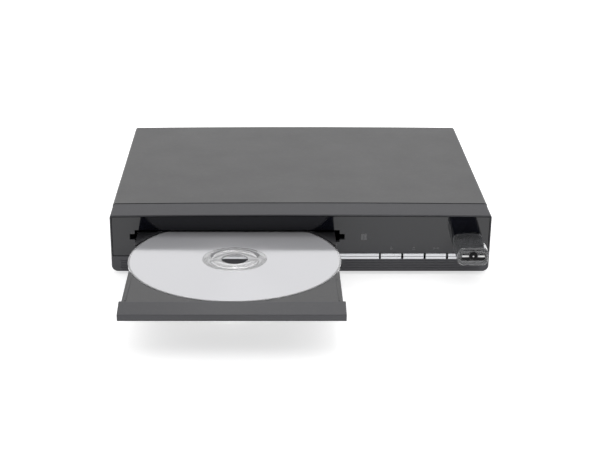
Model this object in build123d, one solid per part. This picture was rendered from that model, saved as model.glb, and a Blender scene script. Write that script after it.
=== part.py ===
from build123d import *
import math
import os

# A compact table-top disc player: a steel case with a moulded fascia, a tray loader and a memory stick.
# Millimetres. The sub-parts are drawn in the case frame: x = 0 is the middle of the case, y = 0 is the
# upper front edge of the fascia with +y to the rear, and z = 0 is the underside of the case. save()
# moves them to the part's own frame, whose origin is the bottom centre of the whole object.

# ---- case ----
CASE_W = 225.6
CASE_D = 180.0
CASE_H = 35.4
CROWN = 0.6  # rise of the top from its sides to its middle
TOP_CORNER_R = 1.8
LOW_CORNER_R = 4.0
SHEET = 0.8
SEAM = 0.1  # gap between fastened sheet parts
FOOT_H = 3.5
FOOT_R = 8.0
FOOT_X = 92.0
FOOT_Y = (32.0, 160.0)

# ---- fascia ----
FASCIA_D = 20.2
FASCIA_STEP = 0.25  # the fascia lies this far inside the cover's outline
FASCIA_DROP = 1.8  # its lower edge hangs this far below the pan
COVER_GAP = 0.5  # open joint between fascia and cover
FASCIA_LEAN = 2.3  # the lower front edge stands this far behind the upper one
FASCIA_WALL = 3.0
FASCIA_SKIN = 2.0
GROOVE_X = 107.0  # the fine grooves of the lower band reach this far each side
GROOVE_Z = -0.5
GROOVE_STEP = 1.1
GROOVE_W = 0.4
GROOVE_DEEP = 0.3
GROOVES = 6
PANEL_T = 1.4
PANEL_MARGIN = 0.8
PANEL_GAP = 0.45  # shadow line round the panel
PANEL_SINK = 0.2  # the panel lies this far behind the rim
PANEL_Z = 8.1
SLOT_X = (-98.1, 23.2)
SLOT_Z = (17.5, 25.1)
NOTCH_Z = (19.0, 22.6)
NOTCH_W = 3.0

# ---- keys ----
KEY_NAMES = ("key_power", "key_eject", "key_play", "key_stop")
KEY_X = 48.0
KEY_W = 12.1
KEY_PITCH = 13.35
KEY_Z = (6.5, 10.0)
KEY_PROUD = 0.5
KEY_TRAVEL = 0.5
KEY_GAP = 0.12
BAR_X = (-90.0, 46.9)

# ---- front electronics ----
BOARD_T = 1.6
KEY_BOARD_Y = 15.0
USB_X = 99.0
USB_Z = 17.5
USB_SHELL = (13.1, 14.0, 5.72)
USB_WALL = 0.3
IR_X = 37.6
IR_Z = 20.7
DISPLAY_X = (45.0, 81.0)
DISPLAY_Z = (15.0, 24.0)

# ---- disc and tray, drawn open ----
DISC_R = 60.0
DISC_HOLE_R = 7.5
DISC_T = 1.2
DISC_X = -38.0
DISC_Y = -41.1
DISC_Z = 22.5
TRAVEL = 114.0
RECESS_R = 60.6
TRAY_X = (-96.1, 20.1)
TRAY_Y = (-101.1, 55.0)
TRAY_LOW = 17.9
TRAY_FLOOR = (20.5, 22.2)
TRAY_TOP = 23.6
SKIRT = 2.2
LIP_X = (-97.4, 21.4)
LIP_FRONT = -113.0
LIP_STEP = 21.5
LIP_TOP = 24.0
LIP_SLOPE_D = 10.7
RIB_REACH = 5.3
RIB_Z = (19.2, 22.3)

# ---- loader ----
SPINDLE_Y = DISC_Y + TRAVEL
DECK_Y = (22.0, 172.0)
WALL_T = 5.4
DECK_TOP = 25.3
FLOOR_Z = SHEET + SEAM
GEAR_Y = 33.0
GEAR_Z = 12.8
TRAY_GEAR_X = 5.5
PINION_TEETH = 20
PINION_MODULE = 0.8
WHEEL_TEETH = 30
SMALL_TEETH = 12
WHEEL_MODULE = 0.7
MOTOR_X = -52.0
MOTOR_Y = 32.6
BELT_Z = 10.0
BELT_T = 1.2
PULLEY_R = 8.4
MOTOR_PULLEY_R = 2.6

# ---- traverse, drawn raised and then lowered by TILT ----
HINGE_Y = 150.0
HINGE_Z = 13.5
TILT = 4.8
PIN_Y = 45.0
PIN_Z = 14.5
PIN_R = 1.2
PIN_X = (-72.0, -38.0)
CAM_TRAVEL = 14.0
CAM_Y = (43.5, 46.5)
ROD_X = (-62.0, -12.0)
ROD_Z = 15.4
ROD_R = 1.5
SCREW_X = -3.0
LENS_Y = SPINDLE_Y + 40.0  # middle of the pickup's travel
RUN_FIT = 0.05

# ---- rear ----
REAR_Y = CASE_D - 2 * SHEET - SEAM
PHONO_X = (-86.0, -72.0, -58.0, -44.0)
PHONO_Z = 12.6
PHONO_R = 4.15
PHONO_BODY_R = 4.4  # behind the panel the barrels are a little thicker
PHONO_REACH = 8.5
PORT_X = -16.0
INLET_X = 88.0
INLET_Z = 13.0
BOARD_Z = 5.0
MAIN_BOARD = (-104.0, 60.0, 160.5, 177.0)
POWER_BOARD = (66.0, 107.0, 66.0, 177.0)

# The part's frame: the origin is under the middle of everything from the tray lip to the rear sockets.
REAR_END = REAR_Y + SHEET + PHONO_REACH
ORIGIN = Location((0, -(LIP_FRONT + REAR_END) / 2, FOOT_H))


def box(x0, x1, y0, y1, z0, z1):
    """A block between two values on each axis."""
    return Pos((x0 + x1) / 2, (y0 + y1) / 2, (z0 + z1) / 2) * Box(x1 - x0, y1 - y0, z1 - z0)


def post(x, y, z0, z1, r):
    """An upright cylinder."""
    return Pos(x, y, (z0 + z1) / 2) * Cylinder(r, z1 - z0)


def rod_y(x, z, y0, y1, r):
    """A cylinder along y."""
    return Pos(x, (y0 + y1) / 2, z) * Rot(90, 0, 0) * Cylinder(r, y1 - y0)


def rod_x(y, z, x0, x1, r):
    """A cylinder along x."""
    return Pos((x0 + x1) / 2, y, z) * Rot(0, 90, 0) * Cylinder(r, x1 - x0)


def along_x(face, x0, x1):
    """Extrude a (y, z) outline from x0 to x1."""
    return Pos(x0, 0, 0) * extrude(Plane.YZ * face, amount=x1 - x0)


def along_y(face, y0, y1):
    """Extrude an (x, z) outline from y0 to y1."""
    return Pos(0, y1, 0) * extrude(Plane.XZ * face, amount=y1 - y0)


def along_z(face, z0, z1):
    """Extrude an (x, y) outline from z0 to z1."""
    return Pos(0, 0, z0) * extrude(face, amount=z1 - z0)


def outline(*points):
    """A closed straight-sided face through the points."""
    return make_face(Polyline(*points, close=True))


def front_y(z):
    """The y of the leaning front surface at height z."""
    return FASCIA_LEAN * (1 - z / CASE_H)


def leaning(x0, x1, z0, z1, d0, d1):
    """A block whose front and rear follow the lean of the fascia, d0 and d1 behind its surface."""
    low, high = front_y(z0), front_y(z1)
    return along_x(outline((low + d0, z0), (high + d0, z1), (high + d1, z1), (low + d1, z0)), x0, x1)


def case_face(inset, low_r, drop=0.0):
    """The crowned (x, z) section of the case, inset on every side, with its underside lowered by drop."""
    half = CASE_W / 2 - inset
    side_z = CASE_H - CROWN - inset
    low_z = inset - drop
    sides = Polyline((half, side_z), (half, low_z), (-half, low_z), (-half, side_z))
    top = ThreePointArc((-half, side_z), (0, CASE_H - inset), (half, side_z))
    face = make_face(sides + top)
    corners = face.vertices().sort_by(Axis.Y)
    face = fillet(corners[-2:], max(TOP_CORNER_R - inset, 0.5))
    corners = [v for v in face.vertices() if v.Y < low_z + 0.01]
    return fillet(corners, max(low_r - inset, 0.5))


def gear_face(teeth, module, phase=0.0):
    """A spur gear's outline with thin straight-sided teeth, so that it runs with backlash."""
    pitch_r = teeth * module / 2
    root_r, tip_r = pitch_r - 1.1 * module, pitch_r + 0.75 * module
    root_w, tip_w = 2.0 * module, 0.65 * module
    points = []
    for k in range(teeth):
        a = math.radians(phase + 360 * k / teeth)
        ux, uy = math.cos(a), math.sin(a)
        for r, w in ((root_r, -root_w), (tip_r, -tip_w), (tip_r, tip_w), (root_r, root_w)):
            points.append((r * ux - w / 2 * uy, r * uy + w / 2 * ux))
    return outline(*points)


def ring(x, y, z0, z1, outer_r, inner_r):
    """An upright tube."""
    return post(x, y, z0, z1, outer_r) - post(x, y, z0 - 1, z1 + 1, inner_r)


def save(nodes):
    """Write each node in the part's own frame."""
    os.makedirs("parts", exist_ok=True)
    for name, shape in nodes.items():
        solids = [ORIGIN * s for s in shape.solids()]
        placed = solids[0] if len(solids) == 1 else Compound(children=solids)
        export_step(placed, f"parts/{name}.step")


# ---------------------------------------------------------------- case

REAR_SCREWS = [(x, 30.4) for x in (-80.0, 0.0, 80.0)]
DECK_SCREWS = [(x, y) for x in (-101.3, 24.5) for y in (26.0, 120.0)]
BOARD_SCREWS = [(-98.0, 173.0), (56.6, 173.0), (-98.0, 164.5), (56.6, 164.5)]
BOARD_SCREWS += [(71.0, 72.0), (102.0, 72.0), (71.0, 150.0), (102.0, 150.0)]


def top_cover():
    """The folded steel cover: a top, two sides and a narrow lip over the rear panel."""
    shell = along_y(case_face(0, 0.6), FASCIA_D + COVER_GAP, CASE_D)
    shell -= along_y(case_face(SHEET, 0.6), FASCIA_D, CASE_D - SHEET)
    shell -= box(-CASE_W, CASE_W, 0, CASE_D + 1, -1, 1.2)
    shell -= box(-106, 106, CASE_D - 5, CASE_D + 1, -1, 27.6)
    for x, z in REAR_SCREWS:
        shell -= rod_y(x, z, CASE_D - 5, CASE_D + 1, 1.7)
    return shell


def bottom_chassis():
    """The folded steel pan: floor, low side flanges and the full-height rear panel."""
    side = CASE_W / 2 - SHEET - SEAM
    pan = box(-side, side, FASCIA_D + SEAM, REAR_Y + SHEET, 0, SHEET)
    for x in (-side, side - SHEET):
        pan += box(x, x + SHEET, FASCIA_D + SEAM, REAR_Y + SHEET, 0, 9)
    pan += along_y(case_face(SHEET + SEAM, 1.0), REAR_Y, REAR_Y + SHEET)
    for x, y in BOARD_SCREWS:
        pan += post(x, y, SHEET, BOARD_Z, 3.0)
        pan -= post(x, y, -1, BOARD_Z + 1, 1.2)
    for x, y in DECK_SCREWS:
        pan -= post(x, y, -1, 2, 1.7)
    for row in (60.0, 100.0, 140.0):
        for k in range(9):
            pan -= box(-84 + 9 * k, -80.5 + 9 * k, row - 9, row + 9, -1, SHEET + 1)
    for x, z in REAR_SCREWS:
        pan -= rod_y(x, z, REAR_Y - 1, CASE_D, 1.2)
    for x in PHONO_X:
        pan -= rod_y(x, PHONO_Z, REAR_Y - 1, CASE_D, PHONO_R + 0.4)
    pan -= box(PORT_X - 7.8, PORT_X + 7.8, REAR_Y - 1, CASE_D, 6.4, 12.6)
    pan -= box(INLET_X - 11.2, INLET_X + 11.2, REAR_Y - 1, CASE_D, INLET_Z - 6.2, INLET_Z + 6.2)
    return pan


def rubber_feet():
    """Four glued rubber feet."""
    feet = []
    for x in (-FOOT_X, FOOT_X):
        for y in FOOT_Y:
            foot = post(x, y, -FOOT_H, 0, FOOT_R)
            feet.append(chamfer(foot.edges().sort_by(Axis.Z)[0], 1.0))
    return Compound(children=feet)


def screw_up(x, y, seat_z, reach, head_r=2.8, shank_r=1.2):
    """A pan-head screw driven upward, with its head below seat_z."""
    return post(x, y, seat_z - 1.5, seat_z, head_r) + post(x, y, seat_z, seat_z + reach, shank_r)


def screw_down(x, y, seat_z, reach, head_r=2.6, shank_r=1.2):
    """A pan-head screw driven downward, with its head above seat_z."""
    return post(x, y, seat_z, seat_z + 1.5, head_r) + post(x, y, seat_z - reach, seat_z, shank_r)


def cover_screws():
    """Three screws through the cover's rear lip."""
    screws = []
    for x, z in REAR_SCREWS:
        head = rod_y(x, z, CASE_D, CASE_D + 1.6, 2.8)
        head -= box(x - 2, x + 2, CASE_D + 0.8, CASE_D + 2, z - 0.35, z + 0.35)
        head -= box(x - 0.35, x + 0.35, CASE_D + 0.8, CASE_D + 2, z - 2, z + 2)
        screws.append(head + rod_y(x, z, CASE_D - 7, CASE_D, 1.2))
    return Compound(children=screws)


def deck_screws():
    """Four screws up through the floor into the loader's walls."""
    return Compound(children=[screw_up(x, y, 0, 7) for x, y in DECK_SCREWS])


def board_screws():
    """Screws that hold the two rear boards to their posts."""
    seat = BOARD_Z + BOARD_T
    return Compound(children=[screw_down(x, y, seat, 5.5) for x, y in BOARD_SCREWS])


# ---------------------------------------------------------------- fascia


def panel_solid(front, back, margin):
    """The gloss panel's outline as a leaning slab between two depths."""
    face = case_face(FASCIA_STEP + margin, LOW_CORNER_R)
    slab = leaning(-CASE_W, CASE_W, PANEL_Z + margin - PANEL_MARGIN, CASE_H + 2, front, back)
    return along_y(face, -2, 8) & slab


def slot_cutters():
    """The tray slot and the small guide notches at its ends."""
    slot = box(*SLOT_X, -3, 9, *SLOT_Z)
    notches = box(SLOT_X[0] - NOTCH_W, SLOT_X[1] + NOTCH_W, -3, 9, *NOTCH_Z)
    return slot + notches


def front_fascia():
    """The moulded fascia: a leaning front wall, a deep visor, ends and a grooved lower band."""
    body = along_y(case_face(FASCIA_STEP, LOW_CORNER_R, FASCIA_DROP + FASCIA_STEP), -1, FASCIA_D)
    body &= leaning(-CASE_W, CASE_W, -3, CASE_H + 1, 0, FASCIA_D + 5)
    body = fillet(body.faces().sort_by(Axis.Y)[0].edges(), 0.4)
    hollow = along_y(case_face(FASCIA_SKIN, LOW_CORNER_R), 0, FASCIA_D + 1)
    body -= hollow & leaning(-CASE_W, CASE_W, -1, CASE_H + 1, FASCIA_WALL, FASCIA_D + 5)
    body -= panel_solid(-1, PANEL_T, PANEL_MARGIN)
    body -= slot_cutters()
    body -= box(BAR_X[0] - KEY_GAP, KEY_X + 3 * KEY_PITCH + KEY_W + KEY_GAP, -3, 9,
                KEY_Z[0] - KEY_GAP, KEY_Z[1] + KEY_GAP)
    body -= box(USB_X - 6.8, USB_X + 6.8, -3, 9, USB_Z - 3.1, USB_Z + 3.1)
    body -= box(*DISPLAY_X, 1, 9, *DISPLAY_Z)
    body -= rod_y(IR_X, IR_Z, 1, 9, 2.6)
    for k in range(GROOVES):
        z = GROOVE_Z + GROOVE_STEP * k
        body -= leaning(-GROOVE_X, GROOVE_X, z, z + GROOVE_W, -1, GROOVE_DEEP)
    for x in (-70.0, 0.0, 70.0):
        body += box(x - 6, x + 6, FASCIA_D - 3, FASCIA_D + 7, SHEET + SEAM, 2.6)
    return body


def front_panel():
    """The smoked gloss panel let into the fascia."""
    panel = panel_solid(PANEL_SINK, PANEL_T - 0.05, PANEL_MARGIN + PANEL_GAP)
    panel -= slot_cutters()
    panel -= box(BAR_X[0] - KEY_GAP, KEY_X + 3 * KEY_PITCH + KEY_W + KEY_GAP, -3, 9,
                 KEY_Z[0] - 1, KEY_Z[1] + KEY_GAP)
    panel -= box(USB_X - 6.6, USB_X + 6.6, -3, 9, USB_Z - 2.9, USB_Z + 2.9)
    return panel


def key_cap(x0, x1):
    """A silver cap with a fine groove along its middle and a retaining flange behind the wall."""
    mid = sum(KEY_Z) / 2
    cap = leaning(x0, x1, *KEY_Z, -KEY_PROUD, FASCIA_WALL + 0.2)
    cap = fillet(cap.faces().sort_by(Axis.Y)[0].edges(), 0.35)
    cap -= leaning(x0 - 1, x1 + 1, mid - 0.2, mid + 0.2, -KEY_PROUD - 1, -KEY_PROUD + 0.25)
    return cap + leaning(x0, x1, KEY_Z[0] - 0.9, KEY_Z[1] + 0.9, FASCIA_WALL + 0.1, FASCIA_WALL + 1.2)


def switch_front():
    """The y where a switch's plunger begins."""
    return KEY_BOARD_Y - 4.3


def key(index):
    """One sprung key with the stem that presses its switch."""
    x0 = KEY_X + KEY_PITCH * index
    x, z = x0 + KEY_W / 2, sum(KEY_Z) / 2
    stem = rod_y(x, z, front_y(z) + FASCIA_WALL + 1, switch_front() - KEY_TRAVEL - 0.05, 1.5)
    return key_cap(x0, x0 + KEY_W) + stem


def key_trim_bar():
    """The fixed silver bar that carries on the line of the keys."""
    return key_cap(*BAR_X)


def key_board():
    """The upright board behind the fascia, notched round the memory-stick socket."""
    board = box(26.5, 107.5, KEY_BOARD_Y, KEY_BOARD_Y + BOARD_T, 3, 29)
    board -= box(USB_X - 8.5, 108, KEY_BOARD_Y - 1, KEY_BOARD_Y + 3, 12, 22)
    return board


def tact_switches():
    """The four switches on the key board, one behind each key."""
    switches = []
    for k in range(4):
        x, z = KEY_X + KEY_PITCH * k + KEY_W / 2, sum(KEY_Z) / 2
        base = box(x - 3, x + 3, KEY_BOARD_Y - 3.5, KEY_BOARD_Y, z - 3, z + 3)
        switches.append(base + rod_y(x, z, switch_front(), KEY_BOARD_Y - 3, 1.6))
    return Compound(children=switches)


def display_module():
    """The four-digit display on the key board."""
    module = box(DISPLAY_X[0] + 1, DISPLAY_X[1] - 1, 8, KEY_BOARD_Y, DISPLAY_Z[0] + 0.5, DISPLAY_Z[1] - 0.5)
    return chamfer(module.edges().group_by(Axis.Y)[0], 0.5)


def ir_receiver():
    """The remote-control receiver with its small dome."""
    body = box(IR_X - 3, IR_X + 3, 11, KEY_BOARD_Y, IR_Z - 3.4, IR_Z + 3.4)
    return body + Pos(IR_X, 11, IR_Z) * Sphere(2.2)


def usb_socket():
    """The socket's folded metal shell."""
    w, d, h = USB_SHELL
    y0 = front_y(USB_Z) + 0.6
    shell = box(USB_X - w / 2, USB_X + w / 2, y0, y0 + d, USB_Z - h / 2, USB_Z + h / 2)
    shell -= box(USB_X - w / 2 + USB_WALL, USB_X + w / 2 - USB_WALL, y0 - 1, y0 + d - USB_WALL,
                 USB_Z - h / 2 + USB_WALL, USB_Z + h / 2 - USB_WALL)
    return shell


def usb_tongue():
    """The socket's contact carrier."""
    y1 = front_y(USB_Z) + 0.6 + USB_SHELL[1] - USB_WALL
    block = box(USB_X - 6, USB_X + 6, y1 - 1.4, y1, USB_Z - 2.4, USB_Z + 2.4)
    return block + box(USB_X - 5.2, USB_X + 5.2, y1 - 9, y1 - 1, USB_Z + 0.3, USB_Z + 1.6)


def usb_board():
    """The small level board under the memory-stick socket."""
    low = USB_Z - USB_SHELL[2] / 2
    return box(USB_X - 8, USB_X + 8, 6, 30, low - BOARD_T, low)


# ---------------------------------------------------------------- memory stick

STICK_W = 17.6
STICK_T = 10.6
STICK_RISE = 0.3  # its middle stands this far above the plug's
STICK_L = 24.6
STICK_BACK = 0.9  # the stick's shoulder stands this far in front of the panel
STICK_WALL = (1.3, 2.15)  # clear shell at the sides, and above and below
STICK_FIT = 0.05


def stick_block(side, rim, y0, y1, corner):
    """A block with the stick's rounded outline, inset at the sides and at the top and bottom."""
    face = RectangleRounded(STICK_W - 2 * side, STICK_T - 2 * rim, corner)
    return along_y(Pos(USB_X, USB_Z + STICK_RISE) * face, y0, y1)


def stick_nodes():
    """The memory stick: a clear shell, a gloss core and a hollow metal plug."""
    shoulder = front_y(USB_Z) - STICK_BACK
    end = shoulder - STICK_L
    side, rim = STICK_WALL
    shell = stick_block(0, 0, end, shoulder, 3.2)
    shell = fillet(shell.faces().sort_by(Axis.Y)[0].edges(), 1.6)
    shell -= stick_block(side, rim, end + 1.5, shoulder + 1, 2.0)
    core = stick_block(side + STICK_FIT, rim + STICK_FIT, end + 1.6, shoulder, 1.9)
    core -= box(USB_X - 6.05, USB_X + 6.05, shoulder - 6, shoulder + 1, USB_Z - 2.3, USB_Z + 2.3)
    core += box(USB_X - 5.65, USB_X + 5.65, shoulder - 6.4, shoulder + 11.4, USB_Z - 1.9, USB_Z - 0.1)
    plug = box(USB_X - 6, USB_X + 6, shoulder - 5.9, shoulder + 11.8, USB_Z - 2.25, USB_Z + 2.25)
    plug -= box(USB_X - 5.7, USB_X + 5.7, shoulder - 7, shoulder + 13, USB_Z - 1.95, USB_Z + 1.95)
    for x in (USB_X - 2.3, USB_X + 2.3):
        plug -= box(x - 1.1, x + 1.1, shoulder + 5.4, shoulder + 7.6, USB_Z, USB_Z + 3)
    return {"stick_shell": shell, "stick_core": core, "stick_plug": plug}


# ---------------------------------------------------------------- tray and disc


def rack_face():
    """The straight row of teeth on the underside of the tray, facing the pinion."""
    pitch = math.pi * PINION_MODULE
    pitch_x = TRAY_GEAR_X + PINION_TEETH * PINION_MODULE / 2
    root_x, tip_x = pitch_x + 1.1 * PINION_MODULE, pitch_x - 0.75 * PINION_MODULE
    root_w, tip_w = 2.0 * PINION_MODULE, 0.65 * PINION_MODULE
    first = math.ceil((TRAY_Y[0] + 9 - GEAR_Y) / pitch)
    last = math.floor((TRAY_Y[1] - 6 - GEAR_Y) / pitch)
    points = []
    for k in range(first, last):
        y = GEAR_Y + (k + 0.5) * pitch
        points += [(root_x, y - root_w / 2), (tip_x, y - tip_w / 2)]
        points += [(tip_x, y + tip_w / 2), (root_x, y + root_w / 2)]
    return outline(*points, (root_x + 2, points[-1][1]), (root_x + 2, points[0][1]))


def disc_tray():
    """The tray: a floor with a round recess, side skirts, guide ribs, a rear rim and the rack."""
    x0, x1 = TRAY_X
    y0, y1 = TRAY_Y
    tray = box(x0, x1, y0, y1, TRAY_FLOOR[0], TRAY_TOP)
    tray += box(x0, x0 + SKIRT, y0, y1, TRAY_LOW, TRAY_TOP)
    tray += box(x1 - SKIRT, x1, y0, y1, TRAY_LOW, TRAY_TOP)
    tray += box(x0, x1, y0, y0 + SKIRT, TRAY_LOW, TRAY_TOP)
    rim = ring(DISC_X, DISC_Y, TRAY_TOP - 0.5, TRAY_TOP + 0.7, RECESS_R + 1.8, RECESS_R - 0.5)
    reach = 2 * RECESS_R
    rear = outline((0, 0), (reach, reach * math.tan(math.radians(20))), (reach, reach),
                   (-reach, reach), (-reach, reach * math.tan(math.radians(20))))
    tray += rim & along_z(Pos(DISC_X, DISC_Y) * rear, TRAY_LOW, TRAY_TOP + 2)
    tray -= post(DISC_X, DISC_Y, DISC_Z - 0.05, TRAY_TOP + 2, RECESS_R)
    tray -= post(DISC_X, DISC_Y, TRAY_FLOOR[1], TRAY_TOP + 2, RECESS_R - 4)
    tray -= post(DISC_X, DISC_Y, TRAY_LOW, TRAY_TOP, 18)
    tray -= box(DISC_X - 22, DISC_X + 22, DISC_Y, DISC_Y + 71, TRAY_LOW, TRAY_TOP + 2)
    for side, x in ((-1, x0), (1, x1)):
        tray += box(*sorted((x, x + side * RIB_REACH)), 26, y1 - 3, *RIB_Z)
    tray += along_z(rack_face(), TRAY_LOW, TRAY_FLOOR[0] + 0.1)
    return tray


def tray_lip():
    """The lip that closes the slot: a low front face under a long sloping top."""
    back = TRAY_Y[0] - SEAM
    lean = front_y(TRAY_LOW) - front_y(LIP_STEP)
    face = outline((LIP_FRONT + lean, TRAY_LOW), (LIP_FRONT, LIP_STEP),
                   (LIP_FRONT + LIP_SLOPE_D, LIP_TOP), (back, LIP_TOP), (back, TRAY_LOW))
    lip = along_x(face, *LIP_X)
    lip = fillet(lip.edges().filter_by(Axis.X).group_by(Axis.Y)[0], 0.3)
    lip -= box(LIP_X[0] + 2, LIP_X[1] - 2, LIP_FRONT + 2.4, back - 2, TRAY_LOW - 1, LIP_STEP - 1.6)
    return lip


def disc():
    """A 120 mm disc with its low stacking ring on the underside."""
    plate = post(DISC_X, DISC_Y, DISC_Z, DISC_Z + DISC_T, DISC_R)
    plate = fillet(plate.edges().filter_by(GeomType.CIRCLE), 0.2)
    return plate - post(DISC_X, DISC_Y, DISC_Z - 1, DISC_Z + 3, DISC_HOLE_R)


# ---------------------------------------------------------------- loader


def deck_frame():
    """The loader's frame: two channelled walls, ledges, a gear plate, a cam channel and hinge blocks."""
    left, right = TRAY_X[0] - 2.5, TRAY_X[1] + 2.1
    deck = box(left - WALL_T, left, *DECK_Y, FLOOR_Z, DECK_TOP)
    deck += box(right, right + WALL_T, *DECK_Y, FLOOR_Z, DECK_TOP)
    deck += box(left, left + 4.9, *DECK_Y, TRAY_LOW - 1.5, TRAY_LOW - 0.3)
    deck += box(right - 4.9, right, *DECK_Y, TRAY_LOW - 1.5, TRAY_LOW - 0.3)
    deck += box(left, right, DECK_Y[0], 42.4, 6, 7.6)
    for y in (CAM_Y[0] - 1.1, CAM_Y[1] + 0.3):
        deck += box(left, right, y, y + 0.8, FLOOR_Z, 4)
    deck += box(left, right, 156, 159.5, 2, 8)
    for x in (-90.0, 10.4):
        deck += box(x, x + 3.6, HINGE_Y - 4, 157, FLOOR_Z, HINGE_Z + 4)
    for x in (left - 3.4, right):
        deck -= box(x, x + 3.4, DECK_Y[0] - 1, DECK_Y[1] + 1, RIB_Z[0] - 0.3, RIB_Z[1] + 0.3)
    deck -= box(left - WALL_T - 1, left + 0.01, 159.9, 180, 0, 11)
    deck -= box(right - 0.01, right + WALL_T + 1, 159.9, 180, 0, 11)
    deck -= rod_x(HINGE_Y, HINGE_Z, -91, 15, 2 + RUN_FIT)
    deck -= post(MOTOR_X, MOTOR_Y, 5, 9, 9.6)
    small_x = TRAY_GEAR_X - (WHEEL_TEETH + SMALL_TEETH) * WHEEL_MODULE / 2
    deck += post(TRAY_GEAR_X, GEAR_Y, 7, 20.2, 1.5)
    deck += post(small_x, GEAR_Y, 7, 16.6, 1.5)
    for x, y in DECK_SCREWS:
        deck -= post(x, y, 0, 7.5, 1.2)
    return deck


def clamp_bridge():
    """The pressed steel bridge over the tray that carries the clamper."""
    left, right = TRAY_X[0] - 2.5 - WALL_T, TRAY_X[1] + 2.1 + WALL_T
    bridge = box(left, right, SPINDLE_Y - 17, SPINDLE_Y + 17, DECK_TOP, DECK_TOP + 1)
    for y in (SPINDLE_Y - 17, SPINDLE_Y + 16):
        bridge += box(left + 8, right - 8, y, y + 1, DECK_TOP, DECK_TOP + 3)
    return bridge - post(DISC_X, SPINDLE_Y, DECK_TOP - 1, DECK_TOP + 2, 11)


def clamper():
    """The magnetic puck that hangs in the bridge over the turntable."""
    puck = post(DISC_X, SPINDLE_Y, 24.8, DECK_TOP + 1.5, 10.4)
    puck += post(DISC_X, SPINDLE_Y, DECK_TOP + 1.2, DECK_TOP + 2.6, 14)
    puck += post(DISC_X, SPINDLE_Y, DECK_TOP + 2.5, DECK_TOP + 4.5, 6)
    return puck - post(DISC_X, SPINDLE_Y, 24, 26, 5)


def loading_motor():
    """The loading motor's can, with a bore for its shaft."""
    can = post(MOTOR_X, MOTOR_Y, 1.2, 8.8, 9.5)
    can = fillet(can.edges().group_by(Axis.Z)[0], 0.8)
    return can - post(MOTOR_X, MOTOR_Y, 4, 9, 1 + RUN_FIT)


def pulley(x, y, r, z0):
    """A flanged wheel whose groove is a little wider than the belt."""
    wheel = post(x, y, z0 - 0.9, z0 + BELT_T + 1.3, r - 0.1)
    for z in (z0 - 0.9, z0 + BELT_T + 0.5):
        wheel += post(x, y, z, z + 0.8, r + 1)
    return wheel


def motor_pulley():
    """The small pulley on the motor's shaft."""
    return pulley(MOTOR_X, MOTOR_Y, MOTOR_PULLEY_R, BELT_Z) + post(MOTOR_X, MOTOR_Y, 4.4, 10, 1)


def pulley_gear():
    """The large pulley with the small gear on top of it."""
    x = TRAY_GEAR_X - (WHEEL_TEETH + SMALL_TEETH) * WHEEL_MODULE / 2
    wheel = pulley(x, GEAR_Y, PULLEY_R, BELT_Z)
    teeth = gear_face(SMALL_TEETH, WHEEL_MODULE, 180 / SMALL_TEETH)
    wheel += along_z(Pos(x, GEAR_Y) * teeth, BELT_Z + 2, 16.2)
    return wheel - post(x, GEAR_Y, 5, 20, 1.5 + RUN_FIT)


def tray_gear():
    """The wheel with the pinion that drives the tray's rack."""
    gear = along_z(Pos(TRAY_GEAR_X, GEAR_Y) * gear_face(WHEEL_TEETH, WHEEL_MODULE), GEAR_Z + 0.3, GEAR_Z + 2.6)
    pinion = gear_face(PINION_TEETH, PINION_MODULE)
    gear += along_z(Pos(TRAY_GEAR_X, GEAR_Y) * pinion, GEAR_Z + 2.5, 20.2)
    return gear - post(TRAY_GEAR_X, GEAR_Y, 5, 21, 1.5 + RUN_FIT)


def drive_belt():
    """The rubber belt round the two pulleys."""
    x = TRAY_GEAR_X - (WHEEL_TEETH + SMALL_TEETH) * WHEEL_MODULE / 2

    def loop(grow):
        small = Pos(MOTOR_X, MOTOR_Y) * Circle(MOTOR_PULLEY_R + grow)
        large = Pos(x, GEAR_Y) * Circle(PULLEY_R + grow)
        return make_hull(small.edges() + large.edges())

    return along_z(loop(BELT_T) - loop(0), BELT_Z, BELT_Z + BELT_T)


def pin_drop():
    """How far the traverse's lifting pins fall when it is lowered."""
    return (HINGE_Y - PIN_Y) * math.sin(math.radians(TILT))


def cam_slider():
    """The sliding cam whose slanted slots lift the traverse by its pins."""
    slider = box(-78, -10, *CAM_Y, FLOOR_Z + 0.4, 17.2)
    low = PIN_Z - pin_drop() - (PIN_Z - HINGE_Z) * (1 - math.cos(math.radians(TILT)))
    half = PIN_R + 0.25
    for x in PIN_X:
        run = outline((x - 0.6, low - half), (x + 0.4, low - half), (x + CAM_TRAVEL + 0.2, PIN_Z - half),
                      (x + CAM_TRAVEL + 1.8, PIN_Z - half), (x + CAM_TRAVEL + 1.8, PIN_Z + half),
                      (x + CAM_TRAVEL - 0.2, PIN_Z + half), (x - 0.4, low + half), (x - 1.8, low + half),
                      (x - 1.8, low - half))
        slider -= along_y(run, CAM_Y[0] - 1, CAM_Y[1] + 1)
    return slider


# ---------------------------------------------------------------- traverse


def lowered(shape):
    """Swing a piece that is drawn in the raised traverse down to its rest place."""
    return shape.rotate(Axis((0, HINGE_Y, HINGE_Z), (1, 0, 0)), TILT)


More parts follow.
